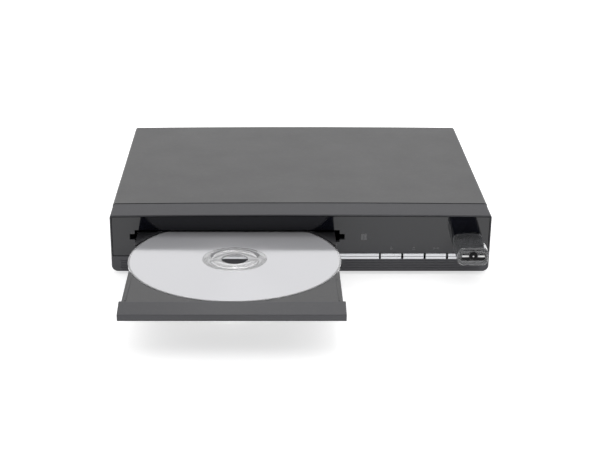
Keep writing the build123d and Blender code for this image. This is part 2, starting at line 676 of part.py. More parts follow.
def traverse_frame():
    """The swinging plate: motor seat, pickup window, rod bosses, lifting pins and hinge pins."""
    frame = box(-84, 8, 50, 152, 12, 13.6)
    for x in (-84.0, 6.4):
        frame += box(x, x + 1.6, 50, 146, 10.2, 13.6)
    frame += box(-84, 8, 145.5, 152, 12, 15)
    frame -= box(-59, -17, 86.5, 143, 11, 14)
    frame -= post(DISC_X, SPINDLE_Y, 11, 14, 4.2)
    for x in ROD_X + (SCREW_X,):
        frame += box(x - 3, x + 3, 141.6, 145, 13.5, 18)
    for x in ROD_X:
        frame += box(x - 3, x + 3, 82, 85, 13.5, 18)
        frame -= rod_y(x, ROD_Z, 81, 146, ROD_R)
    frame -= rod_y(SCREW_X, ROD_Z, 141, 146, 1 + RUN_FIT)
    for x in PIN_X:
        frame += box(x - 2, x + 2, 48, 51, 12, 16)
        frame += rod_y(x, PIN_Z, CAM_Y[0] + 0.2, 49, PIN_R)
    for x0, x1 in ((-89.6, -83), (7, 13.6)):
        frame += rod_x(HINGE_Y, HINGE_Z, x0, x1, 2)
    return lowered(frame)


def spindle_motor():
    """The disc motor's fixed half: base, winding core and bearing housing."""
    motor = post(DISC_X, SPINDLE_Y, 13.6, 14.4, 14)
    motor += post(DISC_X, SPINDLE_Y, 14.4, 17, 10.4)
    motor += post(DISC_X, SPINDLE_Y, 9.4, 14, 4.1)
    return lowered(motor - post(DISC_X, SPINDLE_Y, 10, 18, 0.8))


def turntable():
    """The spinning half: rotor cup, disc seat, centring cone and shaft."""
    table = post(DISC_X, SPINDLE_Y, 14.8, 20, 12.4) - post(DISC_X, SPINDLE_Y, 14, 18.4, 11)
    table += post(DISC_X, SPINDLE_Y, 19.8, 21.8, 14.6)
    table += post(DISC_X, SPINDLE_Y, 21.7, 22.4, 8.6)
    table += Pos(DISC_X, SPINDLE_Y, 23.1) * Cone(7.1, 5.6, 1.6)
    table += post(DISC_X, SPINDLE_Y, 10.5, 19, 0.8 - RUN_FIT)
    return lowered(table)


def turntable_pad():
    """The rubber ring that grips the disc."""
    return lowered(ring(DISC_X, SPINDLE_Y, 21.8, 22.4, 14.4, 9))


def guide_rods():
    """The two polished rods that the pickup runs on."""
    return lowered(Compound(children=[rod_y(x, ROD_Z, 82, 145, ROD_R) for x in ROD_X]))


def sled_motor():
    """The motor that turns the lead screw."""
    can = rod_y(SCREW_X, ROD_Z, 62, 78, 5.5)
    can &= box(SCREW_X - 6, SCREW_X + 6, 60, 80, 13.6, 19.4)
    return lowered(can - rod_y(SCREW_X, ROD_Z, 74, 79, 1 + RUN_FIT))


def lead_screw():
    """The screw that carries the pickup along, with a thread of shallow ridges."""
    screw = rod_y(SCREW_X, ROD_Z, 75, 144.6, 1)
    screw += rod_y(SCREW_X, ROD_Z, 80, 141, 1.3)
    for k in range(20):
        screw += rod_y(SCREW_X, ROD_Z, 81.5 + 3 * k, 82.5 + 3 * k, 1.5)
    return lowered(screw)


def pickup_sled():
    """The pickup's die-cast body with its bearings and its nut."""
    y = LENS_Y
    sled = box(-57, -19, y - 7, y + 11, 12.2, 18.8)
    sled -= post(DISC_X, y - 27, 10, 20, 21.5)
    sled += box(-66, -56, y - 5, y + 9, 13.9, 17.6)
    sled += box(-20, -8.6, y - 2, y + 6, 13.9, 17.6)
    sled += box(-9, 0.4, y - 1, y + 5, 13.9, 17.6)
    for x in ROD_X:
        sled -= rod_y(x, ROD_Z, y - 9, y + 13, ROD_R + RUN_FIT)
    sled -= rod_y(SCREW_X, ROD_Z, y - 9, y + 13, 1.6)
    sled -= box(DISC_X - 7, DISC_X + 7, y - 5, y + 6, 16.2, 20)
    return lowered(sled)


def lens_holder():
    """The floating block that carries the lens."""
    block = box(DISC_X - 5.6, DISC_X + 5.6, LENS_Y - 4, LENS_Y + 4.6, 17, 19.4)
    return lowered(block - post(DISC_X, LENS_Y, 16, 20, 2.6))


def objective_lens():
    """The objective lens in its holder."""
    lens = post(DISC_X, LENS_Y, 18.2, 19.5, 2.6)
    return lowered(fillet(lens.edges().group_by(Axis.Z)[-1], 0.6))


# ---------------------------------------------------------------- rear electronics


def board(x0, x1, y0, y1):
    """A level board with its screw holes."""
    plate = box(x0, x1, y0, y1, BOARD_Z, BOARD_Z + BOARD_T)
    for x, y in BOARD_SCREWS:
        plate -= post(x, y, BOARD_Z - 1, BOARD_Z + 3, 1.5)
    return plate


def main_board_chips():
    """The decoder, memory, motor driver, crystal and ribbon connectors."""
    top = BOARD_Z + BOARD_T
    chips = [box(2, 20, 161, 176, top, top + 1.6), box(24, 34, 163, 171, top, top + 1.2)]
    chips += [box(35.5, 42.5, 163, 171, top, top + 1.6), box(24, 34, 172, 176, top, top + 3.5)]
    chips += [post(48, 172, top, top + 8, 3.1), post(-30, 171.5, top, top + 9, 3.1)]
    chips += [box(-84, -62, 161, 166, top, top + 2.5), box(-50, -30, 161, 166, top, top + 2.5)]
    return Compound(children=chips)


def phono_block():
    """The moulded block behind the four phono sockets."""
    x0, x1 = PHONO_X[0] - 7, PHONO_X[-1] + 7
    block = box(x0, x1, 167, REAR_Y - SEAM, BOARD_Z + BOARD_T, PHONO_Z + 6)
    for x in PHONO_X:
        block -= rod_y(x, PHONO_Z, 168, CASE_D, PHONO_BODY_R)
    return block


def phono_barrels():
    """The four metal barrels that a phono plug slides over."""
    panel = REAR_Y + SHEET
    barrels = []
    for x in PHONO_X:
        tube = rod_y(x, PHONO_Z, 168, panel, PHONO_BODY_R) + rod_y(x, PHONO_Z, panel, panel + PHONO_REACH, PHONO_R)
        barrels.append(tube - rod_y(x, PHONO_Z, 167, CASE_D + PHONO_REACH, PHONO_R - 0.7))
    return Compound(children=barrels)


def phono_inserts():
    """The moulded insulators in the barrels, each with its contact bore."""
    end = REAR_Y + SHEET + PHONO_REACH
    inserts = []
    for x in PHONO_X:
        plug = rod_y(x, PHONO_Z, 168, end - 0.6, PHONO_R - 0.7) - rod_y(x, PHONO_Z, end - 12, end, 1.6)
        inserts.append(plug)
    return Compound(children=inserts)


def digital_port():
    """The flat digital picture-and-sound socket."""
    low = BOARD_Z + BOARD_T
    shell = box(PORT_X - 7.5, PORT_X + 7.5, 168, REAR_Y + SHEET, low, low + 5.8)
    shell -= box(PORT_X - 7, PORT_X + 7, 169, CASE_D, low + 0.6, low + 5.2)
    return shell + box(PORT_X - 5.8, PORT_X + 5.8, 168.5, REAR_Y - 2, low + 2.6, low + 3.4)


def power_transformer():
    """The switching transformer: a ferrite frame round a wound bobbin."""
    low = BOARD_Z + BOARD_T
    core = box(72, 92, 110, 116, low, low + 15) + box(72, 92, 124, 130, low, low + 15)
    return core + box(75, 89, 112, 128, low, low + 14)


def power_capacitors():
    """The mains reservoir capacitor and the output capacitors."""
    low = BOARD_Z + BOARD_T
    caps = [rod_x(142, low + 7, 78, 98, 6.5), post(72, 96, low, low + 14, 4), post(82, 96, low, low + 14, 4)]
    caps += [post(92, 96, low, low + 14, 4), post(100, 110, low, low + 12, 3.2)]
    return Compound(children=caps)


def heat_sink():
    """The bent aluminium cooler for the switching transistor."""
    low = BOARD_Z + BOARD_T
    sink = box(97, 105, 118, 120, low, low + 15) + box(103, 105, 118, 136, low, low + 15)
    return sink


def eight(half, r):
    """A figure-eight outline: two circles of radius r joined across the middle."""
    face = Pos(-half, 0) * Circle(r) + Pos(half, 0) * Circle(r)
    return face + Rectangle(2 * half, 1.7 * r)


def mains_inlet():
    """The two-pole mains inlet with its figure-eight recess."""
    face = Pos(INLET_X, INLET_Z) * RectangleRounded(22, 12, 2)
    body = along_y(face, 159, REAR_Y + SHEET + 1.4)
    body += along_y(Pos(INLET_X, INLET_Z) * RectangleRounded(20, 11, 1), 158, 160)
    return body - along_y(Pos(INLET_X, INLET_Z) * eight(4.3, 4.1), 166, CASE_D + 3)


def inlet_pins():
    """The inlet's two contact pins."""
    pins = []
    for x in (INLET_X - 4.3, INLET_X + 4.3):
        pin = rod_y(x, INLET_Z, 166, 177, 1.2)
        pins.append(fillet(pin.edges().sort_by(Axis.Y)[-1], 0.8))
    return Compound(children=pins)


def front_ribbon():
    """The flat cable from the key board back to the main board."""
    top = BOARD_Z + BOARD_T
    start = KEY_BOARD_Y + BOARD_T + 0.1
    upper = [(start, 12.2), (24, 12.2), (32, 4.2), (150, 4.2), (157, 9.2), (166, 9.2), (166, top + 0.1)]
    lower = [(165.7, top + 0.1), (165.7, 8.9), (157.1, 8.9), (150.1, 3.9), (31.9, 3.9), (23.9, 11.9), (start, 11.9)]
    return along_x(outline(*upper, *lower), 44, 53)


def build():
    """Every node of the part."""
    nodes = {
        "top_cover": top_cover(),
        "bottom_chassis": bottom_chassis(),
        "rubber_feet": rubber_feet(),
        "cover_screws": cover_screws(),
        "deck_screws": deck_screws(),
        "board_screws": board_screws(),
        "front_fascia": front_fascia(),
        "front_panel": front_panel(),
        "key_trim_bar": key_trim_bar(),
        "key_board": key_board(),
        "tact_switches": tact_switches(),
        "display_module": display_module(),
        "ir_receiver": ir_receiver(),
        "usb_socket": usb_socket(),
        "usb_tongue": usb_tongue(),
        "usb_board": usb_board(),
        "disc_tray": disc_tray(),
        "tray_lip": tray_lip(),
        "disc": disc(),
        "deck_frame": deck_frame(),
        "clamp_bridge": clamp_bridge(),
        "clamper": clamper(),
        "loading_motor": loading_motor(),
        "motor_pulley": motor_pulley(),
        "pulley_gear": pulley_gear(),
        "tray_gear": tray_gear(),
        "drive_belt": drive_belt(),
        "cam_slider": cam_slider(),
        "traverse_frame": traverse_frame(),
        "spindle_motor": spindle_motor(),
        "turntable": turntable(),
        "turntable_pad": turntable_pad(),
        "guide_rods": guide_rods(),
        "sled_motor": sled_motor(),
        "lead_screw": lead_screw(),
        "pickup_sled": pickup_sled(),
        "lens_holder": lens_holder(),
        "objective_lens": objective_lens(),
        "main_board": board(*MAIN_BOARD),
        "main_board_chips": main_board_chips(),
        "power_board": board(*POWER_BOARD),
        "power_transformer": power_transformer(),
        "power_capacitors": power_capacitors(),
        "heat_sink": heat_sink(),
        "phono_block": phono_block(),
        "phono_barrels": phono_barrels(),
        "phono_inserts": phono_inserts(),
        "digital_port": digital_port(),
        "mains_inlet": mains_inlet(),
        "inlet_pins": inlet_pins(),
        "front_ribbon": front_ribbon(),
    }
    nodes.update(stick_nodes())
    for index, name in enumerate(KEY_NAMES):
        nodes[name] = key(index)
    return nodes


save(build())
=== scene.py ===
"""A compact tray-loading disc player with its tray open, a disc on the tray and a memory stick in its front socket."""

import logging
import math
from dataclasses import dataclass, field
from enum import Enum
from typing import Callable

import bpy
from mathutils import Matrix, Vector


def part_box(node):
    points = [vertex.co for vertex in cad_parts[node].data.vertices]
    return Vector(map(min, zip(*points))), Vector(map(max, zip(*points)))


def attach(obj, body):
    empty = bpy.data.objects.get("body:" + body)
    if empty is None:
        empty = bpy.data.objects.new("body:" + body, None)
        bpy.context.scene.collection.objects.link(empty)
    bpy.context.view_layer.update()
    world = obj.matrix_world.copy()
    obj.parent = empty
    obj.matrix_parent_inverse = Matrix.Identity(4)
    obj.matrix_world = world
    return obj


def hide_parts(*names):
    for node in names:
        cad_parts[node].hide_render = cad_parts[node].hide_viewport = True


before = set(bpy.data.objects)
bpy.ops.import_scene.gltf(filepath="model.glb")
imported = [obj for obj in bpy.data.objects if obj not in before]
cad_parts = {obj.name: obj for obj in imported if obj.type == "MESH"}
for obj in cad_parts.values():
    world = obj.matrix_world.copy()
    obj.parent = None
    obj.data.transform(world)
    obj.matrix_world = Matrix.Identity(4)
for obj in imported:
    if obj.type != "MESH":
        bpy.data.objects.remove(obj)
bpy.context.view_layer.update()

MM = 0.001
WELD = 2e-6  # points nearer than this, in metres, are one point
FLAT_DEG = 1.0  # faces that meet at less than this are one flat face
log = logging.getLogger("disc_player")

Colour = tuple[float, float, float]
Point = tuple[float, float, float]
Pair = tuple[float, float]
Node = bpy.types.Node
Socket = bpy.types.NodeSocket
Piece = bpy.types.Object


# ---- shader helpers


class Shader:
    """Adds nodes to one node tree and wires them as they are added."""

    def __init__(self, tree: bpy.types.NodeTree) -> None:
        """Keep the tree that the nodes go in.

        Args:
            tree: The material's, world's or effect group's node tree.
        """
        self.tree = tree

    def link(self, value: object, socket: Socket) -> None:
        """Feed a socket from another socket, or set it to a constant.

        Args:
            value: An output socket, or a number, vector or colour.
            socket: The input to feed.
        """
        if isinstance(value, Socket):
            self.tree.links.new(value, socket)
        else:
            socket.default_value = value

    def add(self, kind: str, inputs: dict[str, object] | None = None, **settings: object) -> Node:
        """Add a node.

        Args:
            kind: The node's type, without its ShaderNode prefix.
            inputs: Values or sockets for the node's named inputs.
            settings: Values for the node's own settings.

        Returns:
            The new node.
        """
        node = self.tree.nodes.new("ShaderNode" + kind)
        for name, value in settings.items():
            setattr(node, name, value)
        for name, value in (inputs or {}).items():
            self.link(value, node.inputs[name])
        return node

    def math(self, operation: str, *values: object, clamp: bool = False) -> Socket:
        """Add a Math node.

        Args:
            operation: The node's operation.
            values: One to three numbers or sockets.
            clamp: Whether the result is kept between 0 and 1.

        Returns:
            The result.
        """
        node = self.add("Math", operation=operation, use_clamp=clamp)
        for value, socket in zip(values, node.inputs):
            self.link(value, socket)
        return node.outputs[0]

    def mix(self, a: object, b: object, factor: object) -> Socket:
        """Mix two colours.

        Args:
            a: The colour at factor 0.
            b: The colour at factor 1.
            factor: How much of b.

        Returns:
            The mixed colour.
        """
        node = self.add("Mix", data_type="RGBA")
        for value, socket in ((factor, node.inputs[0]), (a, node.inputs[6]), (b, node.inputs[7])):
            self.link(value, socket)
        return node.outputs[2]

    def noise(self, place: object, scale: object, detail: float = 3.0, rough: float = 0.5) -> Socket:
        """Add a noise pattern.

        Args:
            place: Where on the surface.
            scale: The pattern's frequency, per metre.
            detail: How many finer layers it has.
            rough: How strong the finer layers are.

        Returns:
            The pattern, about 0 to 1.
        """
        inputs = {"Vector": place, "Scale": scale, "Detail": detail, "Roughness": rough}
        return self.add("TexNoise", inputs).outputs["Fac"]

    def place(self) -> Socket:
        """The surface point in the object's own coordinates."""
        return self.add("TexCoord").outputs["Object"]

    def spread(self, value: object, low: float, high: float, out: Pair) -> Socket:
        """Rescale a value from one range to another, clamped.

        Args:
            value: The value.
            low: What becomes the first of out.
            high: What becomes the second of out.
            out: The new range.

        Returns:
            The rescaled value.
        """
        inputs = {"Value": value, "From Min": low, "From Max": high, "To Min": out[0], "To Max": out[1]}
        return self.add("MapRange", inputs).outputs["Result"]


def rgba(colour: Colour, gain: float = 1.0) -> tuple[float, float, float, float]:
    """Give a colour full alpha.

    Args:
        colour: The colour.
        gain: Lightens it above 1 and darkens it below.

    Returns:
        The colour, with no channel over 1.
    """
    return tuple(min(1.0, channel * gain) for channel in colour) + (1.0,)


class Effect(Enum):
    """The effects that several finishes share, each a shader node group."""

    GRAIN = "moulded_grain"
    BRUSHED = "brushed_lines"
    WEAR = "edge_wear"
    DUST = "settled_dust"


class EffectLibrary:
    """Builds each shared effect once and places it in the materials that ask for it."""

    INPUTS: dict[Effect, dict[str, float]] = {
        Effect.GRAIN: {"Scale": 3000.0, "Blotch": 25.0},
        Effect.BRUSHED: {"Scale": 900.0, "Stretch": 0.03},
        Effect.WEAR: {"Radius": 0.0004, "Breakup": 600.0},
        Effect.DUST: {"Scale": 400.0, "Amount": 0.5},
    }
    OUTPUTS: dict[Effect, tuple[str, ...]] = {
        Effect.GRAIN: ("Height", "Shade"),
        Effect.BRUSHED: ("Height", "Shade"),
        Effect.WEAR: ("Mask",),
        Effect.DUST: ("Mask",),
    }

    def __init__(self) -> None:
        """Start with no groups built."""
        self.groups: dict[Effect, bpy.types.NodeTree] = {}

    def grain(self, shader: Shader, given: Node) -> dict[str, Socket]:
        """Fine moulded grain over broad, faint blotches.

        Args:
            shader: The group's shader.
            given: The group's input node.

        Returns:
            The group's outputs, by name.
        """
        place = shader.place()
        fine = shader.noise(place, given.outputs["Scale"], 2.0, 0.6)
        blotch = shader.noise(place, given.outputs["Blotch"], 4.0, 0.55)
        return {"Height": fine, "Shade": shader.math("ADD", shader.math("MULTIPLY", fine, 0.25),
                                                     shader.math("MULTIPLY", blotch, 0.75))}

    def brushed(self, shader: Shader, given: Node) -> dict[str, Socket]:
        """Fine lines along x.

        Args:
            shader: The group's shader.
            given: The group's input node.

        Returns:
            The group's outputs, by name.
        """
        squeeze = shader.add("CombineXYZ", {"X": given.outputs["Stretch"], "Y": 1.0, "Z": 1.0}).outputs[0]
        place = shader.add("VectorMath", {0: shader.place(), 1: squeeze}, operation="MULTIPLY").outputs[0]
        lines = shader.noise(place, given.outputs["Scale"], 3.0, 0.7)
        return {"Height": lines, "Shade": lines}

    def wear(self, shader: Shader, given: Node) -> dict[str, Socket]:
        """A broken mask along sharp outer edges.

        Args:
            shader: The group's shader.
            given: The group's input node.

        Returns:
            The group's outputs, by name.
        """
        rounded = shader.add("Bevel", {"Radius": given.outputs["Radius"]}, samples=4).outputs[0]
        true = shader.add("NewGeometry").outputs["Normal"]
        alike = shader.add("VectorMath", {0: rounded, 1: true}, operation="DOT_PRODUCT").outputs["Value"]
        edge = shader.spread(alike, 0.98, 0.80, (0.0, 1.0))
        broken = shader.spread(shader.noise(shader.place(), given.outputs["Breakup"]), 0.35, 0.65, (0.2, 1.0))
        return {"Mask": shader.math("MULTIPLY", edge, broken)}

    def dust(self, shader: Shader, given: Node) -> dict[str, Socket]:
        """Fine specks and haze on surfaces that face up.

        Args:
            shader: The group's shader.
            given: The group's input node.

        Returns:
            The group's outputs, by name.
        """
        facing = shader.add("SeparateXYZ", {0: shader.add("NewGeometry").outputs["Normal"]}).outputs["Z"]
        haze = shader.spread(shader.noise(shader.place(), given.outputs["Scale"], 5.0, 0.7), 0.5, 0.8, (0.0, 1.0))
        lying = shader.math("MULTIPLY", shader.spread(facing, 0.6, 1.0, (0.0, 1.0)), haze)
        return {"Mask": shader.math("MULTIPLY", lying, given.outputs["Amount"])}

    def group(self, effect: Effect) -> bpy.types.NodeTree:
        """The effect's node group, built on first use.

        Args:
            effect: Which effect.

        Returns:
            Its node group.
        """
        if effect not in self.groups:
            tree = bpy.data.node_groups.new(effect.value, "ShaderNodeTree")
            for name, value in self.INPUTS[effect].items():
                socket = tree.interface.new_socket(name, in_out="INPUT", socket_type="NodeSocketFloat")
                socket.default_value = value
            for name in self.OUTPUTS[effect]:
                tree.interface.new_socket(name, in_out="OUTPUT", socket_type="NodeSocketFloat")
            given, result = tree.nodes.new("NodeGroupInput"), tree.nodes.new("NodeGroupOutput")
            makers: dict[Effect, Callable] = {Effect.GRAIN: self.grain, Effect.BRUSHED: self.brushed,
                                              Effect.WEAR: self.wear, Effect.DUST: self.dust}
            for name, socket in makers[effect](Shader(tree), given).items():
                tree.links.new(socket, result.inputs[name])
            self.groups[effect] = tree
        return self.groups[effect]

    def use(self, shader: Shader, effect: Effect, **values: float) -> Node:
        """Place an effect in a material.

        Args:
            shader: The material's shader.
            effect: Which effect.
            values: The group's inputs for this material.

        Returns:
            The group node, whose outputs are named in OUTPUTS.
        """
        node = shader.add("Group", node_tree=self.group(effect))
        for name, value in values.items():
            node.inputs[name].default_value = value
        return node


EFFECTS = EffectLibrary()


# ---- finishes


@dataclass(frozen=True)
class Finish:
    """A moulded or painted finish: grain, faint blotches, rubbed edges and a little dust."""

    name: str
    colour: Colour
    roughness: float = 0.5
    metallic: float = 0.0
    coat: float = 0.0
    specular: float = 0.5
    grain: float = 3000.0
    depth: float = 0.00002
    bump: float = 0.3
    blotch: float = 25.0
    contrast: float = 0.06
    wear: float = 0.25
    wear_colour: Colour = (0.35, 0.35, 0.36)
    dust: float = 0.04

    def material(self) -> bpy.types.Material:
        """The finish's material, built on first use.

        Returns:
            The material, shared by every piece of this finish.
        """
        if self.name in bpy.data.materials:
            return bpy.data.materials[self.name]
        made = bpy.data.materials.new(self.name)
        made.use_nodes = True
        made.node_tree.nodes.clear()
        shader = Shader(made.node_tree)
        surface = shader.add("BsdfPrincipled", {
            "Metallic": self.metallic, "Roughness": self.roughness, "Base Color": rgba(self.colour),
            "Coat Weight": self.coat, "Coat Roughness": 0.06, "Specular IOR Level": self.specular})
        output = shader.add("OutputMaterial")
        shader.link(surface.outputs[0], output.inputs["Surface"])
        self.dress(shader, surface)
        return made

    def shade(self, shader: Shader, pattern: object) -> Socket:
        """The base colour varied by a pattern, with rubbed edges and dust over it.

        Args:
            shader: The material's shader.
            pattern: A pattern, about 0 to 1.

        Returns:
            The colour.
        """
        spread = shader.spread(pattern, 0.3, 0.7, (0.0, 1.0))
        colour = shader.mix(rgba(self.colour, 1 - self.contrast), rgba(self.colour, 1 + self.contrast), spread)
        if self.wear:
            mask = EFFECTS.use(shader, Effect.WEAR).outputs["Mask"]
            colour = shader.mix(colour, rgba(self.wear_colour), shader.math("MULTIPLY", mask, self.wear))
        if self.dust:
            mask = EFFECTS.use(shader, Effect.DUST, Amount=self.dust).outputs["Mask"]
            colour = shader.mix(colour, rgba((0.6, 0.59, 0.57)), mask)
        return colour

    def roughen(self, shader: Shader, pattern: object, surface: Node, swing: float = 0.06) -> None:
        """Vary the roughness a little with a pattern.

        Args:
            shader: The material's shader.
            pattern: A pattern, about 0 to 1.
            surface: Its surface node.
            swing: How far the roughness goes each way.
        """
        low, high = max(0.02, self.roughness - swing), min(1.0, self.roughness + swing)
        shader.link(shader.spread(pattern, 0.3, 0.7, (low, high)), surface.inputs["Roughness"])

    def emboss(self, shader: Shader, height: object, surface: Node) -> None:
        """Raise the surface by a height pattern.

        Args:
            shader: The material's shader.
            height: The pattern.
            surface: Its surface node.
        """
        inputs = {"Height": height, "Strength": self.bump, "Distance": self.depth}
        shader.link(shader.add("Bump", inputs).outputs[0], surface.inputs["Normal"])

    def dress(self, shader: Shader, surface: Node) -> None:
        """Wire the finish's patterns into its surface.

        Args:
            shader: The material's shader.
            surface: Its surface node.
        """
        grain = EFFECTS.use(shader, Effect.GRAIN, Scale=self.grain, Blotch=self.blotch)
        shader.link(self.shade(shader, grain.outputs["Shade"]), surface.inputs["Base Color"])
        self.roughen(shader, grain.outputs["Shade"], surface)
        self.emboss(shader, grain.outputs["Height"], surface)


@dataclass(frozen=True)
class BrushedFinish(Finish):
    """Drawn or brushed metal with fine lines along x."""

    stretch: float = 0.03

    def dress(self, shader: Shader, surface: Node) -> None:
        """Wire brushed lines into colour, roughness and height.

        Args:
            shader: The material's shader.
            surface: Its surface node.
        """
        lines = EFFECTS.use(shader, Effect.BRUSHED, Scale=self.grain, Stretch=self.stretch)
        shader.link(self.shade(shader, lines.outputs["Shade"]), surface.inputs["Base Color"])
        self.roughen(shader, lines.outputs["Shade"], surface, 0.12)
        self.emboss(shader, lines.outputs["Height"], surface)


@dataclass(frozen=True)
class KeyFinish(Finish):
    """Silver-lacquered caps with painted shade darkening the groove along their middle."""

    groove_half: float = 0.26 * MM
    # The colour of the painted shade in the groove.
    groove_shade_colour: Colour = (0.46, 0.46, 0.48)

    def dress(self, shader: Shader, surface: Node) -> None:
        """Wire the lacquer's grain, then paint shade into the groove, found by its height.

        Args:
            shader: The material's shader.
            surface: Its surface node.
        """
        low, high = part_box("key_play")
        z = shader.add("SeparateXYZ", {0: shader.place()}).outputs["Z"]
        away = shader.math("ABSOLUTE", shader.math("SUBTRACT", z, (low.z + high.z) / 2))
        # Painted shade: the lacquer is darkened in a band at the keys' middle height, where the groove is.
        groove = shader.spread(away, self.groove_half * 0.6, self.groove_half * 1.4, (1.0, 0.0))
        grain = EFFECTS.use(shader, Effect.GRAIN, Scale=self.grain, Blotch=self.blotch)
        lacquer = self.shade(shader, grain.outputs["Shade"])
        shader.link(shader.mix(lacquer, rgba(self.groove_shade_colour), groove), surface.inputs["Base Color"])
        self.roughen(shader, grain.outputs["Shade"], surface)
        self.emboss(shader, grain.outputs["Height"], surface)


@dataclass(frozen=True)
class ZincFinish(Finish):
    """Zinc-coated sheet steel with its crystal spangle."""

    spangle: float = 260.0

    def dress(self, shader: Shader, surface: Node) -> None:
        """Wire crystal cells into colour and roughness under fine grain.

        Args:
            shader: The material's shader.
            surface: Its surface node.
        """
        cells = shader.add("TexVoronoi", {"Vector": shader.place(), "Scale": self.spangle})
        flake = shader.add("SeparateColor", {"Color": cells.outputs["Color"]}).outputs[0]
        shader.link(self.shade(shader, flake), surface.inputs["Base Color"])
        self.roughen(shader, flake, surface, 0.1)
        grain = EFFECTS.use(shader, Effect.GRAIN, Scale=self.grain)
        self.emboss(shader, grain.outputs["Height"], surface)


@dataclass(frozen=True)
class BoardFinish(Finish):
    """A circuit board: solder mask over copper tracks, with solder dots."""

    track: Colour = (0.10, 0.34, 0.17)
    solder: Colour = (0.62, 0.63, 0.62)

    def dress(self, shader: Shader, surface: Node) -> None:
        """Wire straight-sided tracks and round solder dots into the colour.

        Args:
            shader: The material's shader.
            surface: Its surface node.
        """
        cells = shader.add("TexVoronoi", {"Vector": shader.place(), "Scale": 420.0}, distance="CHEBYCHEV")
        tracks = shader.spread(cells.outputs["Distance"], 0.28, 0.34, (1.0, 0.0))
        dots = shader.add("TexVoronoi", {"Vector": shader.place(), "Scale": 300.0})
        solder = shader.spread(dots.outputs["Distance"], 0.14, 0.18, (1.0, 0.0))
        colour = shader.mix(rgba(self.colour), rgba(self.track), tracks)
        shader.link(shader.mix(colour, rgba(self.solder), solder), surface.inputs["Base Color"])
        self.emboss(shader, shader.math("ADD", tracks, solder), surface)


@dataclass(frozen=True)
class InsertFinish(Finish):
    """The phono insulators, coloured by their place along the row."""

    first_x: float = 0.0
    pitch: float = 0.014
    colours: tuple[Colour, ...] = ((0.85, 0.85, 0.82), (0.6, 0.03, 0.03), (0.85, 0.62, 0.03), (0.75, 0.24, 0.02))

    def dress(self, shader: Shader, surface: Node) -> None:
        """Pick each insulator's colour by its x.

        Args:
            shader: The material's shader.
            surface: Its surface node.
        """
        x = shader.add("SeparateXYZ", {0: shader.place()}).outputs["X"]
        index = shader.math("DIVIDE", shader.math("SUBTRACT", x, self.first_x - self.pitch / 2), self.pitch)
        share = shader.math("DIVIDE", index, float(len(self.colours)))
        ramp = shader.add("ValToRGB", {"Fac": share})
        ramp.color_ramp.interpolation = "CONSTANT"
        while len(ramp.color_ramp.elements) < len(self.colours):
            ramp.color_ramp.elements.new(0.5)
        for place, (stop, colour) in enumerate(zip(ramp.color_ramp.elements, self.colours)):
            stop.position = place / len(self.colours)
            stop.color = rgba(colour)
        shader.link(ramp.outputs["Color"], surface.inputs["Base Color"])
        grain = EFFECTS.use(shader, Effect.GRAIN, Scale=self.grain)
        self.emboss(shader, grain.outputs["Height"], surface)


@dataclass(frozen=True)
class MirrorFinish(Finish):
    """The disc's metal layer: a mirror with fine round tracks that stretch its highlights."""

    centre: Point = (0.0, 0.0, 0.0)
    anisotropy: float = 0.9

    def dress(self, shader: Shader, surface: Node) -> None:
        """Wire the radial tangent, faint track bands and slight haze.

        Args:
            shader: The material's shader.
            surface: Its surface node.
        """
        surface.inputs["Anisotropic"].default_value = self.anisotropy
        surface.inputs["Anisotropic Rotation"].default_value = 0.25
        tangent = shader.add("Tangent", direction_type="RADIAL", axis="Z")
        shader.link(tangent.outputs[0], surface.inputs["Tangent"])
        offset = shader.add("VectorMath", {0: shader.place(), 1: self.centre}, operation="SUBTRACT").outputs[0]
        radius = shader.add("VectorMath", {0: offset}, operation="LENGTH").outputs["Value"]
        bands = shader.add("TexNoise", {"W": shader.math("MULTIPLY", radius, 1400.0), "Detail": 4.0},
                           noise_dimensions="1D").outputs["Fac"]
        shader.link(self.shade(shader, bands), surface.inputs["Base Color"])
        self.roughen(shader, bands, surface, 0.008)


@dataclass(frozen=True)
class ClearFinish(Finish):
    """Clear or tinted moulded plastic."""

    transmission: float = 1.0
    ior: float = 1.5

    def dress(self, shader: Shader, surface: Node) -> None:
        """Set transmission and give the surface faint flow marks.

        Args:
            shader: The material's shader.
            surface: Its surface node.
        """
        surface.inputs["Transmission Weight"].default_value = self.transmission
        surface.inputs["IOR"].default_value = self.ior
        grain = EFFECTS.use(shader, Effect.GRAIN, Scale=self.grain)
        self.roughen(shader, grain.outputs["Shade"], surface, 0.02)
        self.emboss(shader, grain.outputs["Height"], surface)


# ---- mesh helpers


def deselect() -> None:
    """Deselect every object, outside edit mode."""
    if bpy.context.object and bpy.context.object.mode != "OBJECT":
        bpy.ops.object.mode_set(mode="OBJECT")
    bpy.ops.object.select_all(action="DESELECT")


def activate(piece: Piece) -> None:
    """Make one object the only selected one.

    Args:
        piece: The object.
    """
    deselect()
    piece.select_set(True)
    bpy.context.view_layer.objects.active = piece


def settle(piece: Piece, name: str, angle: float = 30.0) -> Piece:
    """Name a finished piece, put its place in its mesh, and smooth it up to an angle in degrees.

    Args:
        piece: The piece.
        name: Its name.
        angle: Edges sharper than this, in degrees, stay sharp.

    Returns:
        The piece.
    """
    activate(piece)
    piece.name = name
    piece.data.name = name
    bpy.ops.object.transform_apply(location=True, rotation=True, scale=True)
    bpy.ops.object.shade_smooth_by_angle(angle=math.radians(angle))
    return piece


